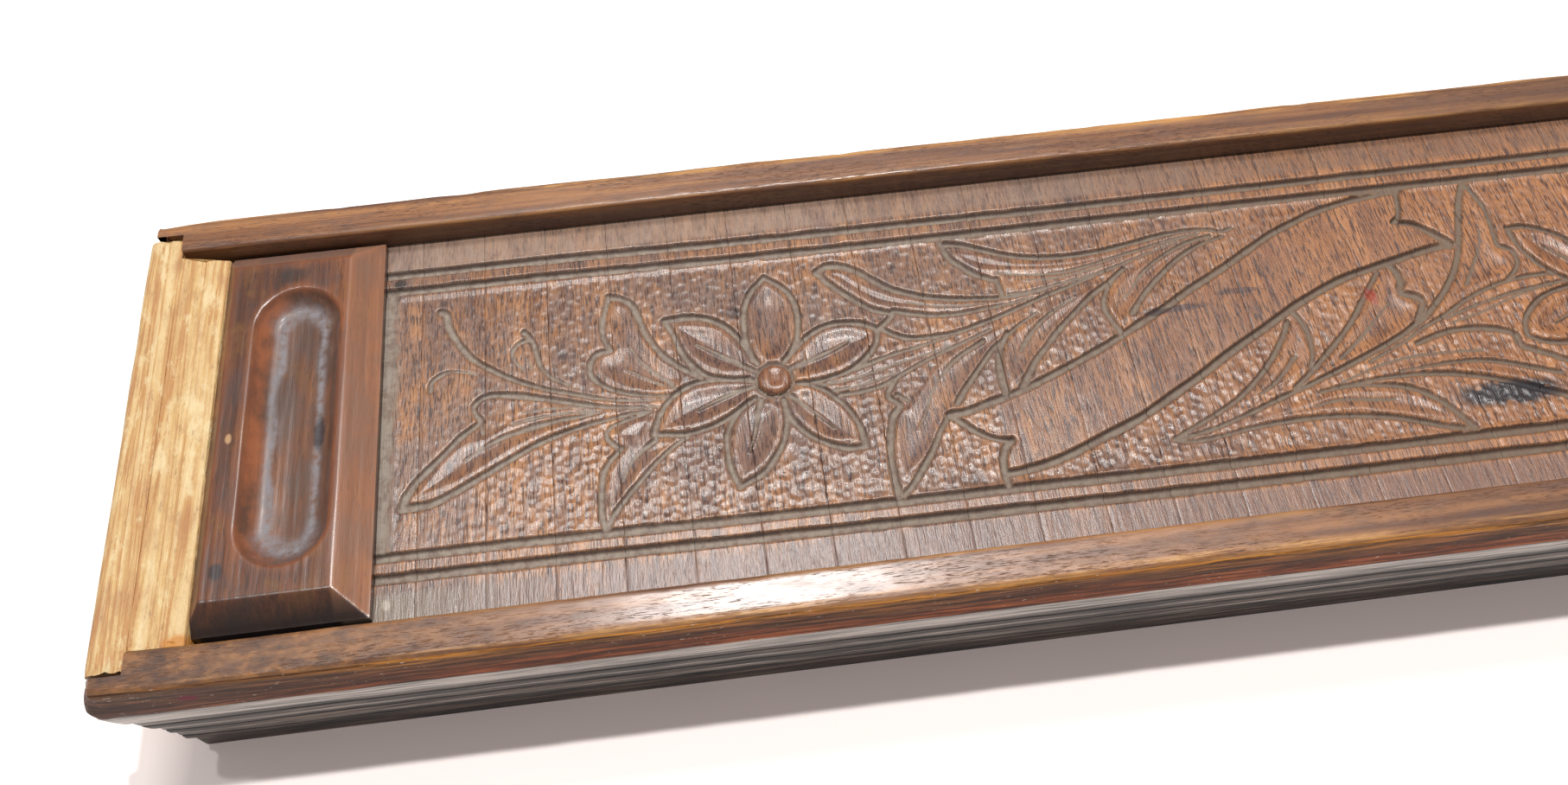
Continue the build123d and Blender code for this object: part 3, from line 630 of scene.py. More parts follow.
# ---------------------------------------------------------------- building meshes
def new_piece(name, skin, body, node, materials, masks, sharp, kinds=None):
    """A mesh piece. Its skin is points in millimetres, four-cornered faces and a few larger ones.
    masks are named values on its points, and edges steeper than sharp degrees stay crisp.
    kinds holds, for each four-cornered face, the number of its material."""
    points, faces, extra = skin
    mesh = bpy.data.meshes.new(name)
    corners = [np.asarray(faces, np.int32).ravel()] + [np.asarray(face, np.int32) for face in extra]
    sizes = np.concatenate([np.full(len(faces), 4), [len(face) for face in extra]]).astype(np.int32)
    mesh.vertices.add(len(points))
    mesh.vertices.foreach_set("co", (np.asarray(points, np.float32) * MM).ravel())
    mesh.loops.add(int(sizes.sum()))
    mesh.loops.foreach_set("vertex_index", np.concatenate(corners))
    mesh.polygons.add(len(sizes))
    mesh.polygons.foreach_set("loop_start", np.concatenate([[0], np.cumsum(sizes)[:-1]]).astype(np.int32))
    mesh.polygons.foreach_set("use_smooth", np.ones(len(sizes), bool))
    for label, values in masks.items():
        layer = mesh.attributes.new(label, "FLOAT", "POINT")
        layer.data.foreach_set("value", np.asarray(values, np.float32).ravel())
    mesh.update(calc_edges=True)
    mesh.validate()
    mesh.set_sharp_from_angle(angle=math.radians(sharp))
    for material in materials:
        mesh.materials.append(material)
    if kinds is not None:
        numbers = np.concatenate([kinds, np.zeros(len(extra), int)]).astype(np.int32)
        mesh.polygons.foreach_set("material_index", numbers)
    piece = bpy.data.objects.new(name, mesh)
    bpy.context.scene.collection.objects.link(piece)
    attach(piece, body)
    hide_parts(node)
    return piece


def grid_faces(columns, rows):
    """Quads over a grid of points stored column by column."""
    index = np.arange(columns * rows).reshape(columns, rows)
    return np.stack([index[:-1, :-1], index[1:, :-1], index[1:, 1:], index[:-1, 1:]], -1).reshape(-1, 4)


def closed_block(x, y, top, bottom):
    """Points and faces of a solid under a grid of heights, with its underside as one face."""
    columns, rows = top.shape
    grid_x, grid_y = np.broadcast_to(x[:, None], top.shape), np.broadcast_to(y[None, :], top.shape)
    upper = np.stack([grid_x, grid_y, top], -1).reshape(-1, 3)
    index = np.arange(columns * rows).reshape(columns, rows)
    rim = np.concatenate([index[:-1, 0], index[-1, :-1], index[:0:-1, -1], index[0, :0:-1]])
    low = upper[rim].copy()
    low[:, 2] = bottom
    below = len(upper) + np.arange(len(rim))
    walls = np.stack([rim, below, np.roll(below, -1), np.roll(rim, -1)], -1)
    return np.vstack([upper, low]), np.vstack([grid_faces(columns, rows), walls]), [list(below[::-1])]


def sweep(loops):
    """Closed skin over closed loops, shaped (stations, rows, 3), with both ends filled."""
    loops = np.asarray(loops, float)
    stations, rows, _ = loops.shape
    index = np.arange(stations * rows).reshape(stations, rows)
    around = np.roll(index, -1, axis=1)
    faces = np.stack([index[:-1], index[1:], around[1:], around[:-1]], -1).reshape(-1, 4)
    return loops.reshape(-1, 3), faces, [list(index[0]), list(index[-1][::-1])]


def faced_about(faces, extra):
    """The same faces seen from their other side."""
    return faces[:, ::-1], [list(reversed(face)) for face in extra]


def padded(values, count):
    """Values over a grid, with 0 for a piece's other points."""
    values = np.ravel(values)
    return np.concatenate([values, np.zeros(count - values.size)])


def make_slats(material):
    """One mesh for each slat, all cut from one carved picture."""
    height, masks = make_relief()
    names = []
    for n in range(FLAT_SLATS):
        columns = slice(n * COLUMNS, (n + 1) * COLUMNS)
        x = GRID_X[columns]
        top = LID_TOP + height[columns]
        if n == 0:
            under_block = x < BLOCK_RIGHT + 0.1
            top[under_block] = np.minimum(top[under_block], LID_TOP - 0.03)
        skin = closed_block(x, GRID_Y, top, SLAT_BOTTOM)
        count = len(skin[0])
        slat_masks = {label: padded(values[columns], count) for label, values in masks.items()}
        slat_masks["tone"] = np.full(count, np.random.default_rng(500 + n).uniform(-1, 1))
        names.append(f"carved_slat_{n + 1:02d}")
        new_piece(names[-1], skin, "lid", f"slat_{n + 1:02d}", [material], slat_masks, 70)

    # the slat that lies round the bend is plain
    across = np.linspace(-(PITCH - SLAT_GAP) / 2, (PITCH - SLAT_GAP) / 2, 21)
    y = np.linspace(-SLAT_HALF, SLAT_HALF, 117)
    grid_x, grid_y = across[:, None], y[None, :]
    edge = np.minimum(grid_x - across[0], across[-1] - grid_x)
    top = SLAT_THICK / 2 - 0.14 * np.exp(-(edge / 0.2) ** 2) - 0.02
    top = top + 0.02 * smooth_noise(grid_x, grid_y, 0.6, 6.0, 31)
    points, faces, extra = closed_block(across, y, top, -SLAT_THICK / 2)
    cos, sin = math.cos(SLAT_TURN), math.sin(SLAT_TURN)
    px, pz = points[:, 0].copy(), points[:, 2].copy()
    points[:, 0] = BEND_X + BEND_RADIUS * sin + px * cos + pz * sin
    points[:, 2] = BEND_HEIGHT + BEND_RADIUS * cos - px * sin + pz * cos
    number = f"{FLAT_SLATS + 1:02d}"
    names.append(f"plain_slat_{number}")
    new_piece(names[-1], (points, faces, extra), "lid", f"slat_{number}", [material],
              {"tone": np.full(len(points), 0.3)}, 40)
    return names


# ---------------------------------------------------------------- side boards and the pale end
def noise_at(x, y, scale_x, scale_y, seed):
    """The smooth noise of one place, as a plain number."""
    return float(smooth_noise(x, y, scale_x, scale_y, seed))


def moulding_rows():
    """The outside from the bottom board up as (inset, height), with soft edges."""
    rows = []
    for reed in (2, 1, 0):
        top = BAND_FOOT - reed * REED_HEIGHT
        inset = 0.3 + (reed + 1) * 0.4
        shoulder = top - 0.5 - 0.9
        line = shoulder - 1.2
        rows += [(inset + 0.12, top - REED_HEIGHT), (inset, top - REED_HEIGHT + 0.15),
                 (inset, line - 0.45), (inset + 0.03, line - 0.35), (inset + 0.3, line - 0.1),
                 (inset + 0.28, line - 0.02), (inset + 0.03, line + 0.05), (inset, line + 0.2),
                 (inset, shoulder)]
        for step in range(1, 7):
            angle = step / 6 * QUARTER
            rows.append((inset + 0.7 * (1 - math.cos(angle)), shoulder + 0.9 * math.sin(angle)))
        rows.append((inset + 0.7, top - 0.03))
    rows += [(0.42, BAND_FOOT), (0.3, BAND_FOOT + 0.15)]
    rows += [(0.3 * (1 - step / 8), FACE_FOOT - BAND_DROP * (1 - step / 8)) for step in range(1, 8)]
    rows += [(0.0, FACE_FOOT + step * (FACE_DROP - 1.3) / 11) for step in range(12)]
    return rows


def edge_rows(radius, steps=7):
    """The rounded top edge as (inset, height below the top)."""
    angles = [step / steps * QUARTER for step in range(1, steps + 1)]
    return [(radius * (1 - math.cos(angle)), radius * (1 - math.sin(angle))) for angle in angles]


# The rounded ends at some heights: how far back they stand, and how square they are in plan
NOSE_HEIGHTS = (0.0, 4.0, 8.4, 12.8, 17.2, 19.0, 21.1, 23.0, 25.0, 27.0, 28.0, 28.6, 29.0)
NOSE_SETBACKS = (3.0, 3.0, 2.7, 1.9, 0.7, 0.0, -0.45, -0.3, 0.5, 1.8, 2.2, 2.6, 3.0)
NOSE_ROUND = (0.9, 0.9, 0.8, 0.7, 0.45, 0.34, 0.34, 0.38, 0.5, 0.6, 0.75, 0.9, 1.0)  # 1 is a quarter circle
FAR_SETBACK = 1.6  # the far board's ends stand back this much more
CORNER_X = BOARD_HALF - CORNER_RADIUS
CORNER_Y = HALF_WIDTH - CORNER_RADIUS
ARC_STEPS = 14
TRACK_DEPTH = 1.7
TRACK_TOP = 25.3
TRACK_FOOT = 22.3
BEND_FOOT = 4.7  # of the track, where it goes round and below the tray
BEND_START, TRACK_END = BEND_X - 1.3, BEND_X + 11.15
PINE_FAR_EDGE = 26.6  # the pine end's inner half is broken off here


def rail_stations():
    """Where a side board's cross-sections stand, as (end or middle, angle's share or x)."""
    ends = (-SHOULDER, -SHOULDER + 1e-4, SHOULDER - 1e-4, SHOULDER)
    straight = np.sort(np.concatenate([np.arange(-CORNER_X, CORNER_X + 0.01, 0.75), ends]))
    stations = [("left", t / ARC_STEPS) for t in range(ARC_STEPS)]
    stations += [("mid", x) for x in straight]
    return stations + [("right", t / ARC_STEPS) for t in reversed(range(ARC_STEPS))]


def rail_section(kind, value, side, outer_rows):
    """Points of one cross-section of a side board, for y below 0, and how many come before its top."""
    seed = 40 + side
    along = {"left": -BOARD_HALF, "right": BOARD_HALF}.get(kind, value)
    wave = noise_at(along, 0.0, 9.0, 1.0, seed)
    fine = noise_at(along, 3.0, 2.1, 1.0, seed + 1)
    chip = max(0.0, noise_at(along, 7.0, 4.3, 1.0, seed + 2) - 0.55)
    near_end = max(0.0, 1.0 - (BOARD_HALF - abs(value) - 3.0) / 4.0) * 0.4
    turned_in = near_end if kind == "mid" else 1.0 - value
    from_end = BOARD_HALF - abs(along)

    def outside(inset, z):
        radius = CORNER_RADIUS - inset
        lift = 0.035 * noise_at(along, z, 6.0, 1.2, seed + 3) + 0.02 * fine
        inset = max(inset + 0.03 + lift, 0.0)
        # hands have worn the top edge back towards the ends, and knocks the lowest reeds
        worn = 0.35 * math.exp(-from_end / 11.0) * min(max((z - 22.0) / 4.0, 0.0), 1.0)
        worn += 0.5 * math.exp(-from_end / 4.0) * min(max((14.0 - z) / 5.0, 0.0), 1.0)
        if kind == "mid":
            return value, -(HALF_WIDTH - inset - worn), z
        power = float(np.interp(z, NOSE_HEIGHTS, NOSE_ROUND))
        start = math.asin(min((JOINT_HALF - CORNER_Y) / radius, 1.0) ** (1 / power))
        angle = start + (QUARTER - start) * value
        cos, sin = max(math.cos(angle), 0.0) ** power, math.sin(angle) ** power
        back = (float(np.interp(z, NOSE_HEIGHTS, NOSE_SETBACKS)) + (FAR_SETBACK if side > 0 else 0.0)) * cos
        x = CORNER_X + (radius - 0.03) * cos - max(back - inset * cos, min(back, 0.0))
        y = CORNER_Y + (radius - 0.03) * sin - worn * sin
        return (-x if kind == "left" else x), -y, z

    radius = 0.8 + 0.2 * wave + 0.5 * chip + 0.9 * turned_in
    rows = []
    for inset, z in outer_rows:
        # the plain face rounds off towards the worn top edge and, at the ends, towards its foot
        foot = max(0.0, 1.0 - (z - FACE_FOOT) / 2.0) if z > 21.0 else 0.0
        rows.append(outside(inset + 0.35 * turned_in * foot ** 2, min(z, HEIGHT - radius - 0.05)))
    top = HEIGHT - 0.03
    rows += [outside(inset, top - drop) for inset, drop in edge_rows(radius)]
    before_top = len(rows)

    in_rebate = kind != "mid" or abs(value) >= SHOULDER - 1e-6
    inner = JOINT_HALF if in_rebate else INNER_HALF
    x, y_last, _ = rows[-1]
    inner_radius = 0.0 if in_rebate else 0.45 + 0.08 * fine + 0.15 * max(0.0, -wave - 0.4)
    for step in range(1, 9):
        y = y_last + (-(inner + inner_radius) - y_last) * step / 8
        rows.append((x, y, top - abs(0.03 * noise_at(along, y, 5.0, 1.5, seed + 5))))
    for step in range(1, 6):
        angle = step / 5 * QUARTER
        rows.append((x, -(inner + inner_radius * (1 - math.sin(angle))),
                     top - inner_radius * (1 - math.cos(angle)) - 0.02))
    past_track = along >= TRACK_END
    slot = inner if in_rebate or past_track else INNER_HALF + TRACK_DEPTH
    slot_foot = BEND_FOOT if along > BEND_START and not past_track else TRACK_FOOT
    rows += [(x, -inner, z) for z in (27.5, 26.4, 25.5, TRACK_TOP)]
    rows += [(x, -slot, TRACK_TOP), (x, -slot, slot_foot), (x, -inner, slot_foot), (x, -inner, WALL_FOOT)]
    rows[0] = (*rows[0][:2], WALL_FOOT)
    return rows, before_top


def make_rail(side, materials):
    """A side board: side is -1 for the near one and 1 for the far one, which is built mirrored.
    materials are those of its top, of its upright face and of the moulding under that."""
    outer_rows = moulding_rows()
    sections = [rail_section(kind, value, side, outer_rows) for kind, value in rail_stations()]
    loops, before_top = [rows for rows, _ in sections], sections[0][1]
    points, faces, extra = sweep(loops)

    # which row a face starts in says what it is: moulding, upright face, or top and inside
    row = np.tile(np.arange(len(loops[0])), len(loops) - 1)
    face_row = REEDS * ROWS_PER_REED + BAND_ROWS
    kinds = np.where(row < face_row, 2, np.where(row < before_top - 5, 1, 0))

    # how far in from the outside each point lies
    dx, dy = np.abs(points[:, 0]) - CORNER_X, np.abs(points[:, 1]) - CORNER_Y
    inset = np.where((dx > 0) & (dy > 0), CORNER_RADIUS - np.hypot(dx, dy),
                     np.minimum(CORNER_RADIUS - dx, CORNER_RADIUS - dy))
    outer, z = np.abs(points[:, 1]), points[:, 2]
    edge = np.exp(-((inset - 0.62) / 0.44) ** 2) * (z > 27.4)
    edge = np.maximum(edge, 0.4 * np.exp(-((outer - INNER_HALF - 0.2) / 0.3) ** 2) * (z > 28.0))
    # painted shade on the inner walls, below the top and beside the lid
    inner_wall_shade = np.exp(-((outer - INNER_HALF) / 0.15) ** 2) * (z < HEIGHT - 1.0)

    # painted light: in each reed the proud rows get painted highlights and the grooves painted shade; the
    # band gets a painted sheen above painted shade at its foot
    reed_shine = [0, 0, 0, 0, 0, 0, 0.35, 0, 0.35, 1, 1, 0, 0, 0, 0, 0]
    reed_shade = [1, 0, 0, 0.9, 0.9, 0.9, 0, 0, 0, 0, 0, 0, 1, 1, 1, 1]
    rest = [0] * (len(loops[0]) - face_row)
    painted_sheen = np.tile(reed_shine * REEDS + [0] + [0.95] * (BAND_ROWS - 1) + rest, len(loops))
    deep = np.tile(reed_shade * REEDS + [1] + [0] * (BAND_ROWS - 1) + rest, len(loops))
    if side > 0:
        points[:, 1] *= -1
        faces, extra = faced_about(faces, extra)
    word = "near" if side < 0 else "far"
    masks = {"edge": edge, "inner_wall_shade": inner_wall_shade, "painted_sheen": painted_sheen, "deep": deep}
    return new_piece(f"reeded_side_{word}", (points, faces, extra), "case", f"side_board_{word}",
                     materials, masks, 32, kinds)


def make_pine_end(material):
    """The pale end board: outer half between the rebates, inner half with a worn ridge."""
    joint, inner = JOINT_HALF - 0.1, INNER_HALF - 0.1
    shoulder = -HALF_LENGTH + END_THICK
    ridge = -HALF_LENGTH + 7.0
    face = -HALF_LENGTH - END_BULGE
    inner_x = [shoulder, -122.4, -121.2, ridge - 0.15, ridge + 0.15, -119.6, -118.6, -117.7, TRAY_LEFT]
    inner_z = [HEIGHT - drop for drop in (0.55, 0.8, 1.1, 1.45, 1.2, 1.25, 1.4, 1.6, 1.9)]
    places = [-joint, -inner - 1e-4, -inner, inner, inner + 1e-4, joint]
    loops = []
    for y in np.sort(np.concatenate([np.arange(-joint, joint + 0.01, 0.35), places])):
        wide = -inner - 1e-6 <= y <= PINE_FAR_EDGE
        rough = noise_at(y, 0.0, 1.4, 1.0, 61) * 0.05
        worn = noise_at(y, 5.0, 7.0, 1.0, 62)
        end = max(0.0, abs(y) - joint + 1.6) / 1.6
        rows = []
        for inset, z in moulding_rows():
            shift = 0.04 + 0.03 * noise_at(y, z, 5.0, 1.0, 63) + 0.02 * rough
            rows.append((face + max(inset + shift, 0.0), y, min(z, HEIGHT - 1.6)))
        radius = 1.15 + 0.2 * worn
        top = HEIGHT - 0.28 + 0.12 * min(worn, 0.0) - 0.25 * end * abs(math.sin(9.0 * y))
        rows += [(face + inset + 0.04, y, top - drop) for inset, drop in edge_rows(radius, 5)]
        for step in range(1, 8):
            x = face + radius + (END_THICK + END_BULGE - radius) * step / 7
            groove = 0.07 * noise_at(x, y, 0.5, 12.0, 64)
            rows.append((x, y, top - 0.02 * step + min(groove, 0.02)))
        for step in range(0, 31):
            x = shoulder + (TRAY_LEFT - shoulder) * step / 30
            z = float(np.interp(x, inner_x, inner_z))
            groove = 0.08 * noise_at(x, y, 0.45, 14.0, 65) + 0.05 * rough
            ragged = 0.5 * max(0.0, noise_at(y, x, 0.9, 1.7, 66)) * max(0.0, abs(y) - inner + 0.9)
            row = (x, y, z + min(groove, 0.03) - ragged)
            rows.append(row if wide else (shoulder, y, top - 0.14 - 0.001 * step))
        low_x = TRAY_LEFT if wide else shoulder
        rows += [(low_x, y, 20.0), (low_x, y, WALL_FOOT)]
        rows[0] = (rows[0][0], y, WALL_FOOT)
        loops.append(rows)
    points, faces, extra = sweep(loops)
    # the ends are ragged, with a dark gap to the side boards
    limit = np.where(points[:, 0] < shoulder + 0.01, joint, inner)
    short = 0.42 + 0.36 * smooth_noise(points[:, 0], points[:, 2], 0.8, 3.0, 67)
    reached = clamped((limit - 1.0 - np.abs(points[:, 1])) / -1.0)
    points[:, 1] -= np.sign(points[:, 1]) * short * reached * (points[:, 2] > 20)
    skin = (points, *faced_about(faces, extra))
    return new_piece("pale_end_left", skin, "case", "end_board_left", [material], {}, 35)


# ---------------------------------------------------------------- finger block and linen
LEFT_BEVEL, RIGHT_BEVEL, NEAR_BEVEL, FAR_BEVEL = 2.2, 3.9, 3.5, 2.8  # widths of the block's bevels
HOLLOW_X, HOLLOW_Y = -107.5, 0.45
HOLLOW_RADIUS = 5.5
HOLLOW_STRAIGHT = 13.9  # half the length of the hollow's straight part


def make_block(material):
    """The finger block with worn bevels and a thumb hollow."""
    x = np.linspace(BLOCK_LEFT, BLOCK_RIGHT, 133)
    y = np.linspace(BLOCK_NEAR, BLOCK_FAR, 348)
    grid_x, grid_y = np.broadcast_arrays(x[:, None], y[None, :])
    edge_top = LID_TOP + 1.2
    slope = np.minimum.reduce([0.5 + (grid_x - BLOCK_LEFT) / LEFT_BEVEL, (BLOCK_RIGHT - grid_x) / RIGHT_BEVEL,
                               (grid_y - BLOCK_NEAR) / NEAR_BEVEL, (BLOCK_FAR - grid_y) / FAR_BEVEL])
    top = blurred(edge_top + (BLOCK_PLATEAU - edge_top) * clamped(slope), 0.8)
    inside = HOLLOW_RADIUS - np.hypot(grid_x - HOLLOW_X,
                                      np.clip(np.abs(grid_y - HOLLOW_Y) - HOLLOW_STRAIGHT, 0, None))
    bowl = 2.2 * (1 - (1 - clamped(inside / 2.8)) ** 2.2) + 0.1 * clamped((inside - 2.8) / 2.5)
    top = top - blurred(bowl, 1.2)
    top = top + 0.02 * smooth_noise(grid_x, grid_y, 0.5, 9.0, 71)
    top = top + 0.03 * smooth_noise(grid_x, grid_y, 4.0, 6.0, 72)
    top = np.minimum(top, BLOCK_PLATEAU + 0.03)

    # masks: painted shade on the near bevel, dust round the hollow, rubbed edges, the hollow's left wall, the
    # far bevel
    up = (grid_y - BLOCK_NEAR) / NEAR_BEVEL
    # dark is painted shade on the near bevel, which faces away from the light
    dark = clamped(1.15 - 0.8 * up) * clamped((1.12 - up) / 0.08) * (slope >= up - 0.02)
    drift = 0.5 * smooth_noise(grid_x, grid_y, 2.0, 5.0, 73)
    ends = soft_step((np.abs(grid_y - HOLLOW_Y) - 12.5) / 3.0)
    ring = np.exp(-((inside - 2.6 - drift) / (0.55 + 0.5 * drift + 0.6 * ends)) ** 2) * (inside > -0.2)
    wear = clamped((top - blurred(top, 5.0)) * 5.0)
    orange = clamped(inside / 0.5) * clamped((2.6 - inside) / 1.6) * clamped((-108.5 - grid_x) / 2.0)
    far = clamped((grid_y - BLOCK_FAR + FAR_BEVEL) / 0.4)
    far = far * (slope >= (BLOCK_FAR - grid_y) / FAR_BEVEL - 1e-6)

    # under the grid of heights: the block's foot, and the tongues that run in the tracks
    right, foot, foot_top, tongue_top = FIRST_SLAT_LEFT - 0.03, SLAT_BOTTOM + 0.02, LID_TOP + 0.05, 23.88
    points, faces, extra = closed_block(x, y, top, foot_top)
    for y_low, y_high, z_high in ((BLOCK_NEAR, BLOCK_FAR, foot_top), (-SLAT_HALF, BLOCK_NEAR, tongue_top),
                                  (BLOCK_FAR, SLAT_HALF, tongue_top)):
        corners = [(px, py, pz) for px in (BLOCK_LEFT, right) for py in (y_low, y_high)
                   for pz in (foot, z_high)]
        sides = np.array([(0, 1, 3, 2), (4, 6, 7, 5), (0, 4, 5, 1), (2, 3, 7, 6), (0, 2, 6, 4), (1, 5, 7, 3)])
        faces = np.vstack([faces, sides + len(points)])
        points = np.vstack([points, corners])
    masks = {"dust": ring, "wear": wear * (1 - 0.9 * (dark > 0.02)), "bowl": clamped(inside / 0.6),
             "dark": dark, "orange": orange, "far": far}
    masks = {label: padded(values, len(points)) for label, values in masks.items()}
    # the foot and the tongues below, seen in the gap beside the side board, get the same painted shade
    masks["dark"][top.size:] = 1.0
    return new_piece("thumb_block", (points, faces, extra), "lid", "finger_block", [material],
                     masks, 40)


def make_canvas(material):
    """Linen strip under the slats, flat and then round the bend, with its weave."""
    inner = BEND_RADIUS - SLAT_THICK / 2 - 0.4
    turn = 1.5 * SLAT_TURN - SLAT_GAP / inner
    flat = BEND_X - FIRST_SLAT_LEFT
    middle_radius = inner + 0.2
    length = flat + turn * middle_radius
    side = INNER_HALF - 1.0
    y = np.linspace(-side, side, 213)
    loops = []
    for s in np.concatenate([np.linspace(0, flat, 700), np.linspace(flat, length, 40)[1:]]):
        if s <= flat:
            base, up = (FIRST_SLAT_LEFT + s, SLAT_BOTTOM - 0.2), (0.0, 1.0)
        else:
            angle = (s - flat) / middle_radius
            up = (math.sin(angle), math.cos(angle))
            base = (BEND_X + middle_radius * up[0], BEND_HEIGHT + middle_radius * up[1])
        thread = 0.025 * np.cos(s * math.pi / 0.3) * np.cos(y * math.pi / 0.25)
        around_y = np.concatenate([y, y[::-1]])
        out = np.concatenate([-0.17 + thread, np.full(len(y), 0.18)])
        loops.append(np.stack([base[0] + up[0] * out, around_y, base[1] + up[1] * out], -1))
    piece = new_piece("linen_backing", sweep(loops), "lid", "canvas_backing", [material], {}, 60)
    return piece, (2 * side * MM, length * MM)


# ---------------------------------------------------------------- materials
class Value:
    """A number that a material works out at each place, with plain arithmetic."""

    def __init__(self, recipe, socket):
        self.recipe = recipe
        self.socket = socket

    def __add__(self, other):
        return self.recipe.math("ADD", self, other)

    def __sub__(self, other):
        return self.recipe.math("SUBTRACT", self, other)

    def __rsub__(self, other):
        return self.recipe.math("SUBTRACT", other, self)

    def __mul__(self, other):
        return self.recipe.math("MULTIPLY", self, other)

    def __truediv__(self, other):
        return self.recipe.math("DIVIDE", self, other)

    def within(self, low, high, to_low=0.0, to_high=1.0):
        """How far the value is from low to high, as a number from to_low to to_high."""
        inputs = {"Value": self, "From Min": low, "From Max": high, "To Min": to_low, "To Max": to_high}
        return self.recipe.value("MapRange", "Result", inputs)


class Recipe:
    """Builds one node material. Its base colour is laid on in coats, one over the other."""

    def __init__(self, name, **shader_inputs):
        self.material = bpy.data.materials.new(name)
        self.material.use_nodes = True
        self.nodes = self.material.node_tree.nodes
        self.links = self.material.node_tree.links
        self.shader = self.nodes["Principled BSDF"]
        plain = {"roughness": 0.5, "coat_weight": 0.0, "coat_roughness": 0.3, "specular_ior_level": 0.5,
                 "sheen_weight": 0.0, "metallic": 0.0}
        for label, number in {**plain, **shader_inputs}.items():
            self.set(label, number)
        self.place = self.nodes.new("ShaderNodeTexCoord").outputs["Object"]
        self.base = None

    def put(self, socket, value):
        """A constant or another node's result into a socket."""
        if isinstance(value, Value):
            self.links.new(value.socket, socket)
        elif isinstance(value, (int, float, tuple)):
            socket.default_value = value
        else:
            self.links.new(value, socket)

    def set(self, label, value):
        """Sets an input of the shader, such as coat_weight."""
        self.put(self.shader.inputs[label.replace("_", " ").title().replace("Ior", "IOR")], value)

    def node(self, kind, inputs, **settings):
        """A new node; its inputs are named or counted, its settings are its own fields."""
        node = self.nodes.new("ShaderNode" + kind)
        for key, setting in settings.items():
            setattr(node, key, setting)
        for key, value in inputs.items():
            self.put(node.inputs[key], value)
        return node

    def value(self, kind, outlet, inputs, **settings):
        """One result of a new node, to reckon with."""
        return Value(self, self.node(kind, inputs, **settings).outputs[outlet])

    def stretched(self, scale, offset=(0.0, 0.0, 0.0)):
        """The place in millimetres times scale."""
        inputs = {"Vector": self.place, "Scale": tuple(1000.0 * cells for cells in scale), "Location": offset}
        return self.node("Mapping", inputs).outputs["Vector"]

    def axes(self):
        """The place in millimetres along x, y and z."""
        node = self.node("SeparateXYZ", {"Vector": self.stretched((1.0, 1.0, 1.0))})
        return [Value(self, socket) for socket in node.outputs]

    def noise(self, scale, detail, rough, offset=(0.0, 0.0, 0.0), distortion=0.0):
        """Cloudy noise near 0.5, with scale cells in a millimetre along x, y and z."""
        if isinstance(scale, float):
            scale = (scale, scale, scale)
        return self.value("TexNoise", "Fac", {"Vector": self.stretched(scale, offset), "Scale": 1.0,
                                              "Detail": detail, "Roughness": rough, "Distortion": distortion})

    def threads(self, scale, direction):
        """Bands across one direction, as threads lie."""
        inputs = {"Vector": self.stretched((1.0, 1.0, 1.0)), "Scale": scale, "Distortion": 0.6, "Detail": 2.0,
                  "Detail Scale": 1.0}
        return self.value("TexWave", "Fac", inputs, wave_type="BANDS", bands_direction=direction)

    def mask(self, name):
        """A named value that the mesh has on its points."""
        return self.value("Attribute", "Fac", {}, attribute_name=name)

    def math(self, operation, first, second):
        return self.value("Math", 0, {0: first, 1: second}, operation=operation)

    def spot(self, across, along, centre, size, ragged, noise):
        """1 inside an uneven patch round a place in millimetres, seen on two axes."""
        dx, dy = (across - centre[0]) / size[0], (along - centre[1]) / size[1]
        away = dx * dx + dy * dy + (noise - 0.5) * (6 * ragged)
        return away.within(1.35, 0.45)

    def mixed(self, amount, first, second):
        """One colour with some of another over it."""
        inputs = {0: amount, 6: first, 7: second}
        return self.node("Mix", inputs, data_type="RGBA", blend_type="MIX").outputs[2]

    def start(self, value, *stops):
        """First coat: colours that follow a value, each stop being a position and its colour."""
        ramp = self.node("ValToRGB", {"Fac": value})
        elements = ramp.color_ramp.elements
        elements.remove(elements[0])
        for k, (position, *colour) in enumerate(stops):
            element = elements.new(position) if k else elements[0]
            element.position = position
            element.color = srgb(*colour)
        self.base = ramp.outputs["Color"]

    def lay(self, amount, *colour):
        """A further coat of one colour, as thick as amount says."""
        self.base = self.mixed(amount, self.base, srgb(*colour))

    def lay_spots(self, across, along, ragged, noise, spots):
        """Small marks: place, size, colour and how much of it."""
        for centre, size, colour, share in spots:
            self.lay(self.spot(across, along, centre, size, ragged, noise) * share, *colour)

    def bump(self, height, distance, strength):
        """Bumps as high as distance, in metres, where height is 1."""
        inputs = {"Strength": strength, "Distance": distance, "Height": height}
        return self.node("Bump", inputs).outputs["Normal"]

    def finish(self, roughness, normal, coat_too=False):
        """Joins all to the shader; coat_too gives the clear coat the same bumps."""
        self.set("base_color", self.base)
        self.set("roughness", roughness)
        self.set("normal", normal)
        if coat_too:
            self.set("coat_normal", normal)
        return self.material


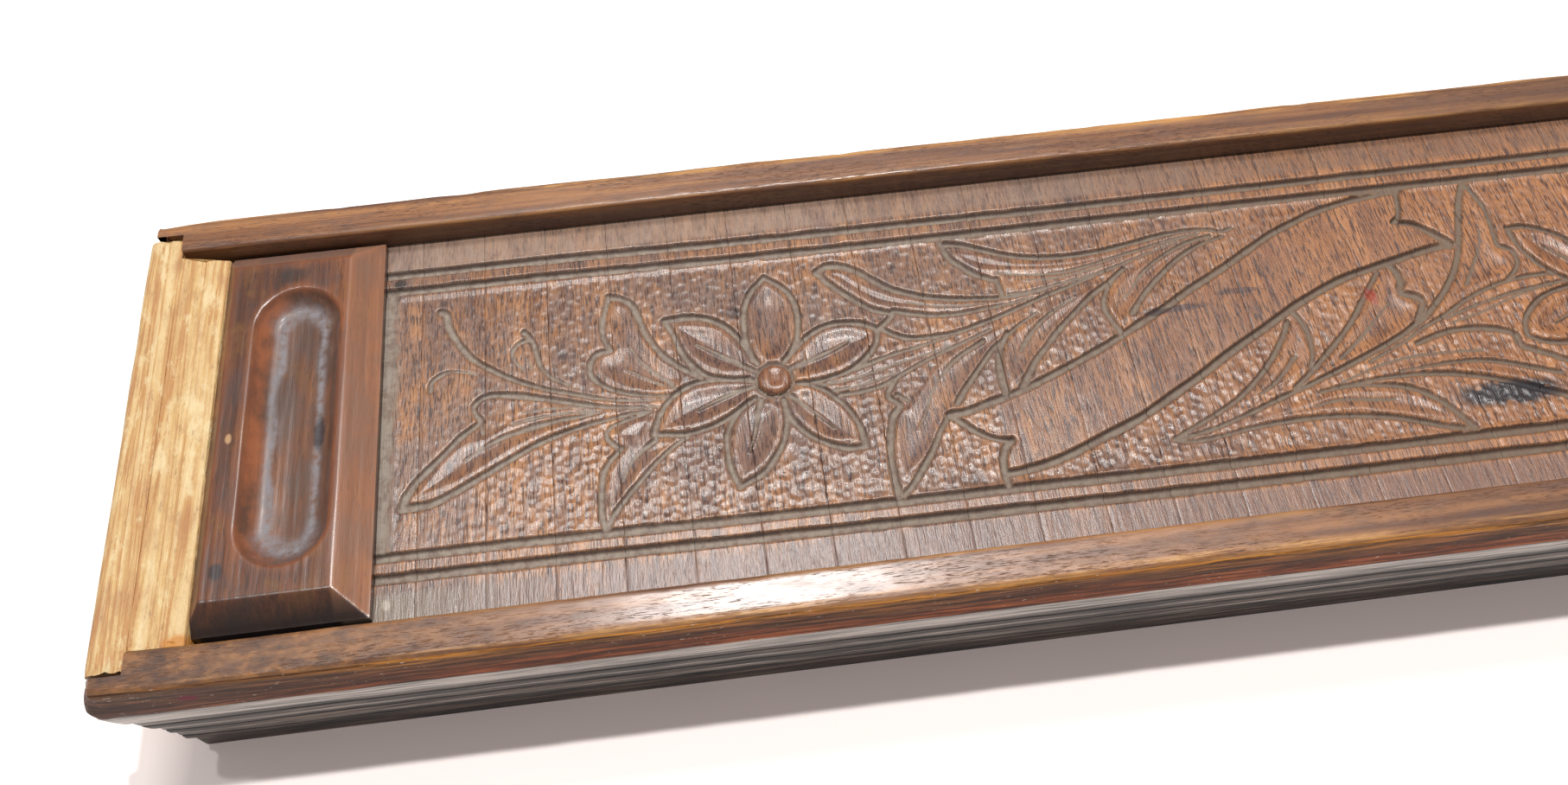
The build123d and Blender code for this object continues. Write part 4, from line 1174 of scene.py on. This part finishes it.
def carved_walnut():
    """Old carved walnut: orange where rubbed, mauve-grey with wax and handling, dust in the cuts and painted
    shade on their far walls.
    """
    r = Recipe("carved_walnut", roughness=0.4, coat_weight=0.5, coat_roughness=0.2)
    x, y, _ = r.axes()
    fibres = r.noise((3.2, 0.22, 1.0), 6.0, 0.68)
    bands = r.noise((0.40, 0.045, 0.3), 3.0, 0.5)
    clouds = r.noise((0.05, 0.08, 0.05), 3.0, 0.5)
    pores = r.noise((4.6, 0.50, 2.0), 2.0, 0.6, offset=(7, 3, 1))
    long_pores = r.noise((2.1, 0.20, 2.0), 2.0, 0.6, offset=(2, 6, 1))
    film = r.noise((0.55, 0.20, 0.3), 5.0, 0.65, offset=(3, 1, 4))
    patchy = r.noise(0.3, 3.0, 0.6, offset=(1, 9, 2))
    dust_noise = r.noise(0.9, 4.0, 0.6)
    ragged = r.noise(0.35, 4.0, 0.6)
    flecks = r.noise((0.45, 0.6, 0.6), 1.0, 0.5, offset=(3, 3, 3))

    # the wood, greyer at the left and more orange at the right, with its pores
    r.start(fibres * 0.55 + bands * 0.45,
            (0.36, 86, 56, 42), (0.46, 128, 86, 58), (0.55, 162, 112, 72), (0.68, 184, 130, 86))
    grey = x.within(-20.0, 40.0, 1.0, 0.3)
    r.lay(film.within(0.44, 0.60, 0.0, 0.6) * grey, 118, 96, 88)
    r.lay(clouds.within(0.42, 0.60, 0.0, 0.5) * grey, 104, 82, 74)
    r.lay(r.mask("tone").within(-1.0, 1.0, 0.0, 0.12), 92, 60, 48)
    r.lay(r.mask("figure") * 0.22, 110, 72, 56)
    r.lay(x.within(-10.0, 50.0, 0.0, 0.3), 184, 116, 62)
    r.lay(long_pores.within(0.55, 0.63, 0.0, 0.7), 70, 48, 44)
    r.lay(pores.within(0.54, 0.61, 0.0, 0.8), 50, 33, 32)
    r.lay(r.mask("hollow") * 0.5, 72, 50, 44)
    r.lay(r.mask("wear") * patchy.within(0.40, 0.65, 0.0, 0.2), 182, 130, 92)
    r.lay(r.mask("boss") * 0.4, 122, 70, 40)

    # the dulled margins along the side boards
    far, near = y.within(22.8, 23.6), y.within(-22.6, -23.4)
    far_colour = r.mixed(x.within(-50.0, 40.0), srgb(158, 134, 118), srgb(114, 88, 74))
    r.base = r.mixed(far * film.within(0.62, 0.40, 0.3, 0.72), r.base, far_colour)
    r.lay(near * 0.6, 104, 78, 70)
    r.lay(near * x.within(-76.0, -94.0) * 0.75, 116, 100, 84)

    # dust in the cuts, paler at the left, and painted shade on their far walls
    dust = r.mask("dust") * dust_noise.within(0.25, 0.6, 0.65, 1.0)
    filled = r.mixed(x.within(-60.0, 30.0), srgb(142, 130, 118), srgb(112, 97, 82))
    filled = r.mixed(dust_noise.within(0.56, 0.40, 0.0, 0.5), filled, srgb(96, 78, 68))
    filled = r.mixed(fibres.within(0.52, 0.66, 0.0, 0.35), filled, srgb(84, 66, 58))
    r.base = r.mixed(dust, r.base, filled)
    # painted shade on the cuts' far walls, which face away from the light
    r.lay(r.mask("wall") * 0.7, 52, 38, 34)

    # the long ink blot at the near right, and small marks
    blot = r.spot(x, y, (44.0, -13.9), (7.2, 1.9), 0.12, ragged)
    r.lay(blot * flecks.within(0.64, 0.60, 0.25, 0.95), 30, 29, 36)
    r.lay_spots(x, y, 0.2, ragged, (
        ((31.6, 2.2), (0.7, 1.5), (150, 46, 36), 0.6), ((5.5, 3.6), (4.6, 0.6), (46, 36, 42), 0.7),
        ((14.5, 5.2), (3.0, 0.5), (46, 36, 42), 0.6), ((-51.7, 10.7), (1.1, 1.1), (48, 34, 34), 0.7),
        ((-95.5, 21.0), (0.8, 0.7), (34, 22, 18), 0.9), ((-95.7, -24.3), (0.5, 0.7), (190, 178, 160), 0.45)))

    r.set("coat_weight", (1.0 - dust) * x.within(-10.0, 50.0, 0.48, 0.28))
    height = fibres * 0.6 + pores * -0.7
    r.set("coat_normal", r.bump(height, 0.00007, 0.8))
    gloss = clouds.within(0.35, 0.65, 0.30, 0.42) + dust * 0.4 + fibres.within(0.3, 0.7, 0.10, -0.04)
    return r.finish(gloss, r.bump(height, 0.00016, 0.9))


def side_walnut():
    """Polished old walnut of the side boards' tops and insides, with painted shade on the inner walls."""
    r = Recipe("walnut_along", roughness=0.4, coat_weight=0.8, coat_roughness=0.2)
    x, y, _ = r.axes()
    fibres = r.noise((0.035, 1.5, 1.5), 7.0, 0.66)
    slow = r.noise((0.00875, 0.375, 0.375), 3.0, 0.5, distortion=0.4)
    pores = r.noise((0.7, 9.75, 9.75), 2.0, 0.6, offset=(5, 1, 2))
    where = r.noise((0.06, 0.3, 0.3), 2.0, 0.5, offset=(2, 2, 2))
    blotch = r.noise((0.16, 0.45, 0.45), 5.0, 0.65, offset=(9, 4, 0))
    mottle = r.noise((0.28, 0.55, 0.55), 5.0, 0.65, offset=(6, 1, 0))
    worn = r.noise((0.10, 0.7, 0.7), 5.0, 0.65)

    r.start(fibres * 0.5 + slow * 0.5,
            (0.36, 82, 50, 36), (0.47, 118, 76, 48), (0.56, 146, 98, 60), (0.68, 168, 118, 72))
    pore = pores.within(0.56, 0.66) * where.within(0.36, 0.56, 0.25, 1.0)
    r.lay(pore * 0.7, 52, 34, 32)
    r.lay(blotch.within(0.48, 0.66, 0.0, 0.5), 84, 64, 58)

    # darkened by hands at the near board's left end, and duller to the right
    handled = x.within(-70.0, -104.0, 0.0, 0.7) * y.within(0.0, -1.0)
    r.lay(handled, 94, 62, 40)
    r.lay(handled * mottle.within(0.50, 0.62), 150, 102, 60)
    r.lay(handled * mottle.within(0.47, 0.38), 62, 44, 38)
    r.lay(x.within(10.0, 80.0, 0.0, 0.75), 96, 64, 46)

    edge = r.mask("edge") * worn.within(0.40, 0.60, 0.05, 0.9) * fibres.within(0.42, 0.54, 0.1, 1.0)
    r.lay(edge * x.within(-104.0, -70.0, 0.3, 1.0) * 0.85, 212, 158, 92)
    # painted shade on the inner walls
    r.lay(r.mask("inner_wall_shade") * 0.5, 58, 40, 34)
    coat = pore.within(0.0, 0.7, 1.0, 0.1) * blotch.within(0.40, 0.70, 1.0, 0.7)
    coat = coat * r.mask("edge").within(0.05, 0.5, 1.0, 0.0) * x.within(-96.0, -66.0, 0.15, 1.0)
    r.set("coat_weight", coat)
    gloss = blotch.within(0.3, 0.7, 0.34, 0.5) + pore * 0.3
    return r.finish(gloss, r.bump(fibres + pore * -0.5, 0.00006, 0.8))


def handled_walnut():
    """The upright face under the top edge: orange at its top, then dark, red-brown at its foot."""
    r = Recipe("walnut_face", roughness=0.6, specular_ior_level=0.1)
    x, _, z = r.axes()
    fibres = r.noise((0.09, 1.5, 1.5), 7.0, 0.72)
    slow = r.noise((0.04, 0.35, 0.35), 4.0, 0.6)
    glint_flecks = r.noise((0.9, 2.8, 2.8), 2.0, 0.5, offset=(2, 2, 5))
    where = r.noise((0.03, 0.1, 0.1), 2.0, 0.5, offset=(4, 0, 0))
    ragged = r.noise(1.2, 3.0, 0.6)

    level = z + (slow - 0.5) * 9.0
    r.start(level.within(21.0, 29.0), (0.0, 164, 82, 42), (0.35, 146, 74, 36), (0.6, 112, 68, 40),
            (0.8, 146, 88, 40), (1.0, 210, 138, 62))
    r.lay(x.within(-84.0, -112.0, 0.0, 0.7), 90, 60, 44)
    r.lay(fibres.within(0.44, 0.56, 0.85, 0.0), 58, 36, 28)
    r.lay(fibres.within(0.56, 0.68, 0.0, 0.7), 196, 116, 58)
    edge = r.mask("edge") * fibres.within(0.42, 0.56, 0.1, 1.0)
    r.lay(edge * x.within(-114.0, -84.0, 0.1, 0.95), 222, 152, 70)
    # pale flecks painted as small highlights
    r.lay(glint_flecks.within(0.70, 0.72) * where.within(0.44, 0.50) * 0.85, 214, 200, 184)
    r.lay_spots(x, z, 0.15, ragged, [((-117.6, 25.0), (1.1, 0.8), (118, 22, 48), 0.85)])
    return r.finish(fibres.within(0.3, 0.7, 0.6, 0.45), r.bump(fibres, 0.00010, 0.8), coat_too=True)


def moulding_dust_and_sheen(name):
    """The moulding below: a pale film on its proud parts, partly wax and dust and partly painted sheen and
    highlights, and painted shade in the dark grooves between.
    """
    r = Recipe(name, roughness=0.42)
    fibres = r.noise((0.05, 1.7, 1.7), 6.0, 0.70)
    slow = r.noise((0.08, 0.6, 0.6), 4.0, 0.6)
    r.start(fibres, (0.38, 20, 13, 12), (0.50, 64, 48, 42), (0.62, 132, 108, 94))
    # the pale film stands for painted sheen and highlights on the proud rows, with some wax and dust
    film = r.mask("painted_sheen") * slow.within(0.30, 0.60, 0.7, 1.0) * fibres.within(0.40, 0.54, 0.25, 1.0)
    r.lay(film, 222, 206, 196)
    # painted shade in the grooves and under the overhangs
    r.lay(r.mask("deep") * 0.95, 18, 13, 13)
    return r.finish(slow.within(0.3, 0.7, 0.36, 0.5), r.bump(fibres, 0.00008, 0.7), coat_too=True)


def reddish_block():
    """Mahogany finger block, darkened by hands, with dust in its hollow, painted shade on its near bevel and
    in the gap below, and a right bevel painted lighter as if lit.
    """
    r = Recipe("mahogany", roughness=0.36, coat_weight=0.4, coat_roughness=0.2)
    x, y, _ = r.axes()
    fibres = r.noise((1.7, 0.07, 1.2), 6.0, 0.62)
    slow = r.noise((0.28, 0.03, 0.3), 3.0, 0.5, distortion=0.4)
    pores = r.noise((3.2, 0.35, 2.0), 2.0, 0.6, offset=(3, 8, 1))
    cloud = r.noise((0.22, 0.16, 0.3), 4.0, 0.6)
    speckle = r.noise(0.8, 4.0, 0.6)

    r.start(fibres * 0.45 + slow * 0.55,
            (0.34, 56, 32, 24), (0.46, 82, 48, 32), (0.57, 110, 64, 38), (0.70, 136, 84, 48))
    r.lay(cloud.within(0.46, 0.62, 0.0, 0.7), 62, 42, 36)
    r.lay(cloud.within(0.44, 0.32, 0.0, 0.5), 118, 82, 46)
    r.lay(pores.within(0.58, 0.68, 0.0, 0.6), 36, 22, 18)
    r.lay(r.mask("wear") * 0.3, 150, 88, 54)
    r.lay(r.mask("bowl") * 0.3, 104, 78, 62)
    r.lay(r.mask("orange") * cloud.within(0.38, 0.62, 0.8, 0.1), 158, 92, 58)
    dust = r.mask("dust") * speckle.within(0.34, 0.58, 0.15, 0.9)
    r.lay(dust, 124, 120, 124)
    r.lay(r.mask("far") * 0.5, 150, 120, 106)
    # painted light: the right bevel, which faces the lamps, is made lighter
    r.lay(x.within(-101.4, -100.9, 0.0, 0.3), 186, 132, 100)
    # painted shade on the near bevel and in the gap
    r.lay(r.mask("dark") * 0.95, 30, 22, 20)
    r.lay_spots(x, y, 0.2, speckle, (
        ((-108.5, 22.0), (1.9, 1.2), (34, 30, 26), 0.6), ((-104.5, -1.0), (0.8, 2.4), (34, 30, 36), 0.8),
        ((-114.6, -19.0), (0.9, 1.1), (26, 28, 34), 0.8), ((-114.8, -1.5), (0.4, 0.7), (190, 150, 106), 0.7)))
    r.set("coat_weight", (r.mask("dark") + dust).within(0.0, 0.8, 0.4, 0.05))
    gloss = cloud.within(0.3, 0.7, 0.28, 0.42) + dust * 0.4
    return r.finish(gloss, r.bump(fibres + pores * -0.6, 0.00005, 0.7))


def pale_pine(name, grain="Y"):
    """Bare pine with orange late-wood stripes and rough flecks."""
    r = Recipe(name, roughness=0.6)
    long_way, fine = {"Y": ((0.50, 0.012, 0.50), (2.5, 0.108, 2.5)),
                      "X": ((0.012, 0.50, 0.50), (0.108, 2.5, 2.5))}[grain]
    stripes = r.noise(long_way, 4.0, 0.6, distortion=0.7)
    fibres = r.noise(fine, 6.0, 0.7)
    soil = r.noise((0.45, 0.16, 0.45), 6.0, 0.7)
    flecks = r.noise((1.5, 0.45, 1.5), 4.0, 0.65, offset=(5, 5, 5))
    r.start(stripes, (0.36, 216, 186, 136), (0.46, 208, 172, 116), (0.505, 182, 130, 78),
            (0.55, 206, 170, 114), (0.62, 218, 190, 142), (0.70, 190, 146, 94))
    r.lay(fibres.within(0.50, 0.72, 0.0, 0.4), 170, 120, 76)
    r.lay(soil.within(0.50, 0.64, 0.0, 0.5), 168, 116, 78)
    r.lay(soil.within(0.46, 0.36, 0.0, 0.7), 224, 204, 160)
    r.lay(flecks.within(0.60, 0.68, 0.0, 0.45), 140, 104, 76)
    if grain == "Y":
        # one stain, at the near end of the left board
        x, y, _ = r.axes()
        ragged = r.noise(0.9, 4.0, 0.6, offset=(1, 2, 3))
        r.lay_spots(x, y, 0.25, ragged, [((-118.1, -26.9), (2.0, 1.2), (194, 124, 42), 0.8)])
    height = fibres + (soil + flecks * -0.8)
    return r.finish(fibres.within(0.3, 0.7, 0.62, 0.5), r.bump(height, 0.00026, 0.9), coat_too=True)


def linen():
    """Old linen with its threads."""
    r = Recipe("linen", roughness=0.85, sheen_weight=0.2)
    weave = r.threads(0.5, "X") * r.threads(0.6, "Y")
    stain = r.noise(0.05, 4.0, 0.6)
    r.start(weave, (0.0, 120, 100, 74), (0.5, 168, 148, 116), (1.0, 190, 172, 140))
    r.lay(stain.within(0.45, 0.65, 0.0, 0.6), 132, 104, 74)
    return r.finish(weave.within(0.0, 1.0, 0.9, 0.8), r.bump(weave, 0.00008, 0.8), coat_too=True)


def dull_steel():
    """Small steel pins with a brown skin of rust."""
    r = Recipe("dull_steel", roughness=0.45, metallic=0.9)
    spots = r.noise(3.0, 4.0, 0.6)
    r.start(spots, (0.4, 120, 116, 112), (0.58, 110, 84, 66), (0.7, 92, 58, 42))
    return r.finish(spots.within(0.3, 0.7, 0.35, 0.7), r.bump(spots, 0.00003, 0.6), coat_too=True)


def give(node, material):
    """A better material for a node that keeps its shape."""
    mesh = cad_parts[node].data
    mesh.materials.clear()
    mesh.materials.append(material)


# ---------------------------------------------------------------- putting it together
add_camera()
add_studio()

board_materials = [side_walnut(), handled_walnut(), moulding_dust_and_sheen("walnut_moulding")]
slat_names = make_slats(carved_walnut())
make_rail(-1, board_materials)
make_rail(1, board_materials)
make_pine_end(pale_pine("pine_across"))
make_block(reddish_block())
canvas, canvas_size = make_canvas(linen())

give("end_board_right", pale_pine("pine_right"))
give("top_cap_right", pale_pine("pine_cap"))
give("bottom_board", moulding_dust_and_sheen("walnut_bottom"))
give("tray_floor", pale_pine("pine_floor", "X"))
give("tray_end", pale_pine("pine_inside"))
give("bottom_pins", dull_steel())

for name in slat_names + ["linen_backing"]:
    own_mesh(bpy.data.objects[name])
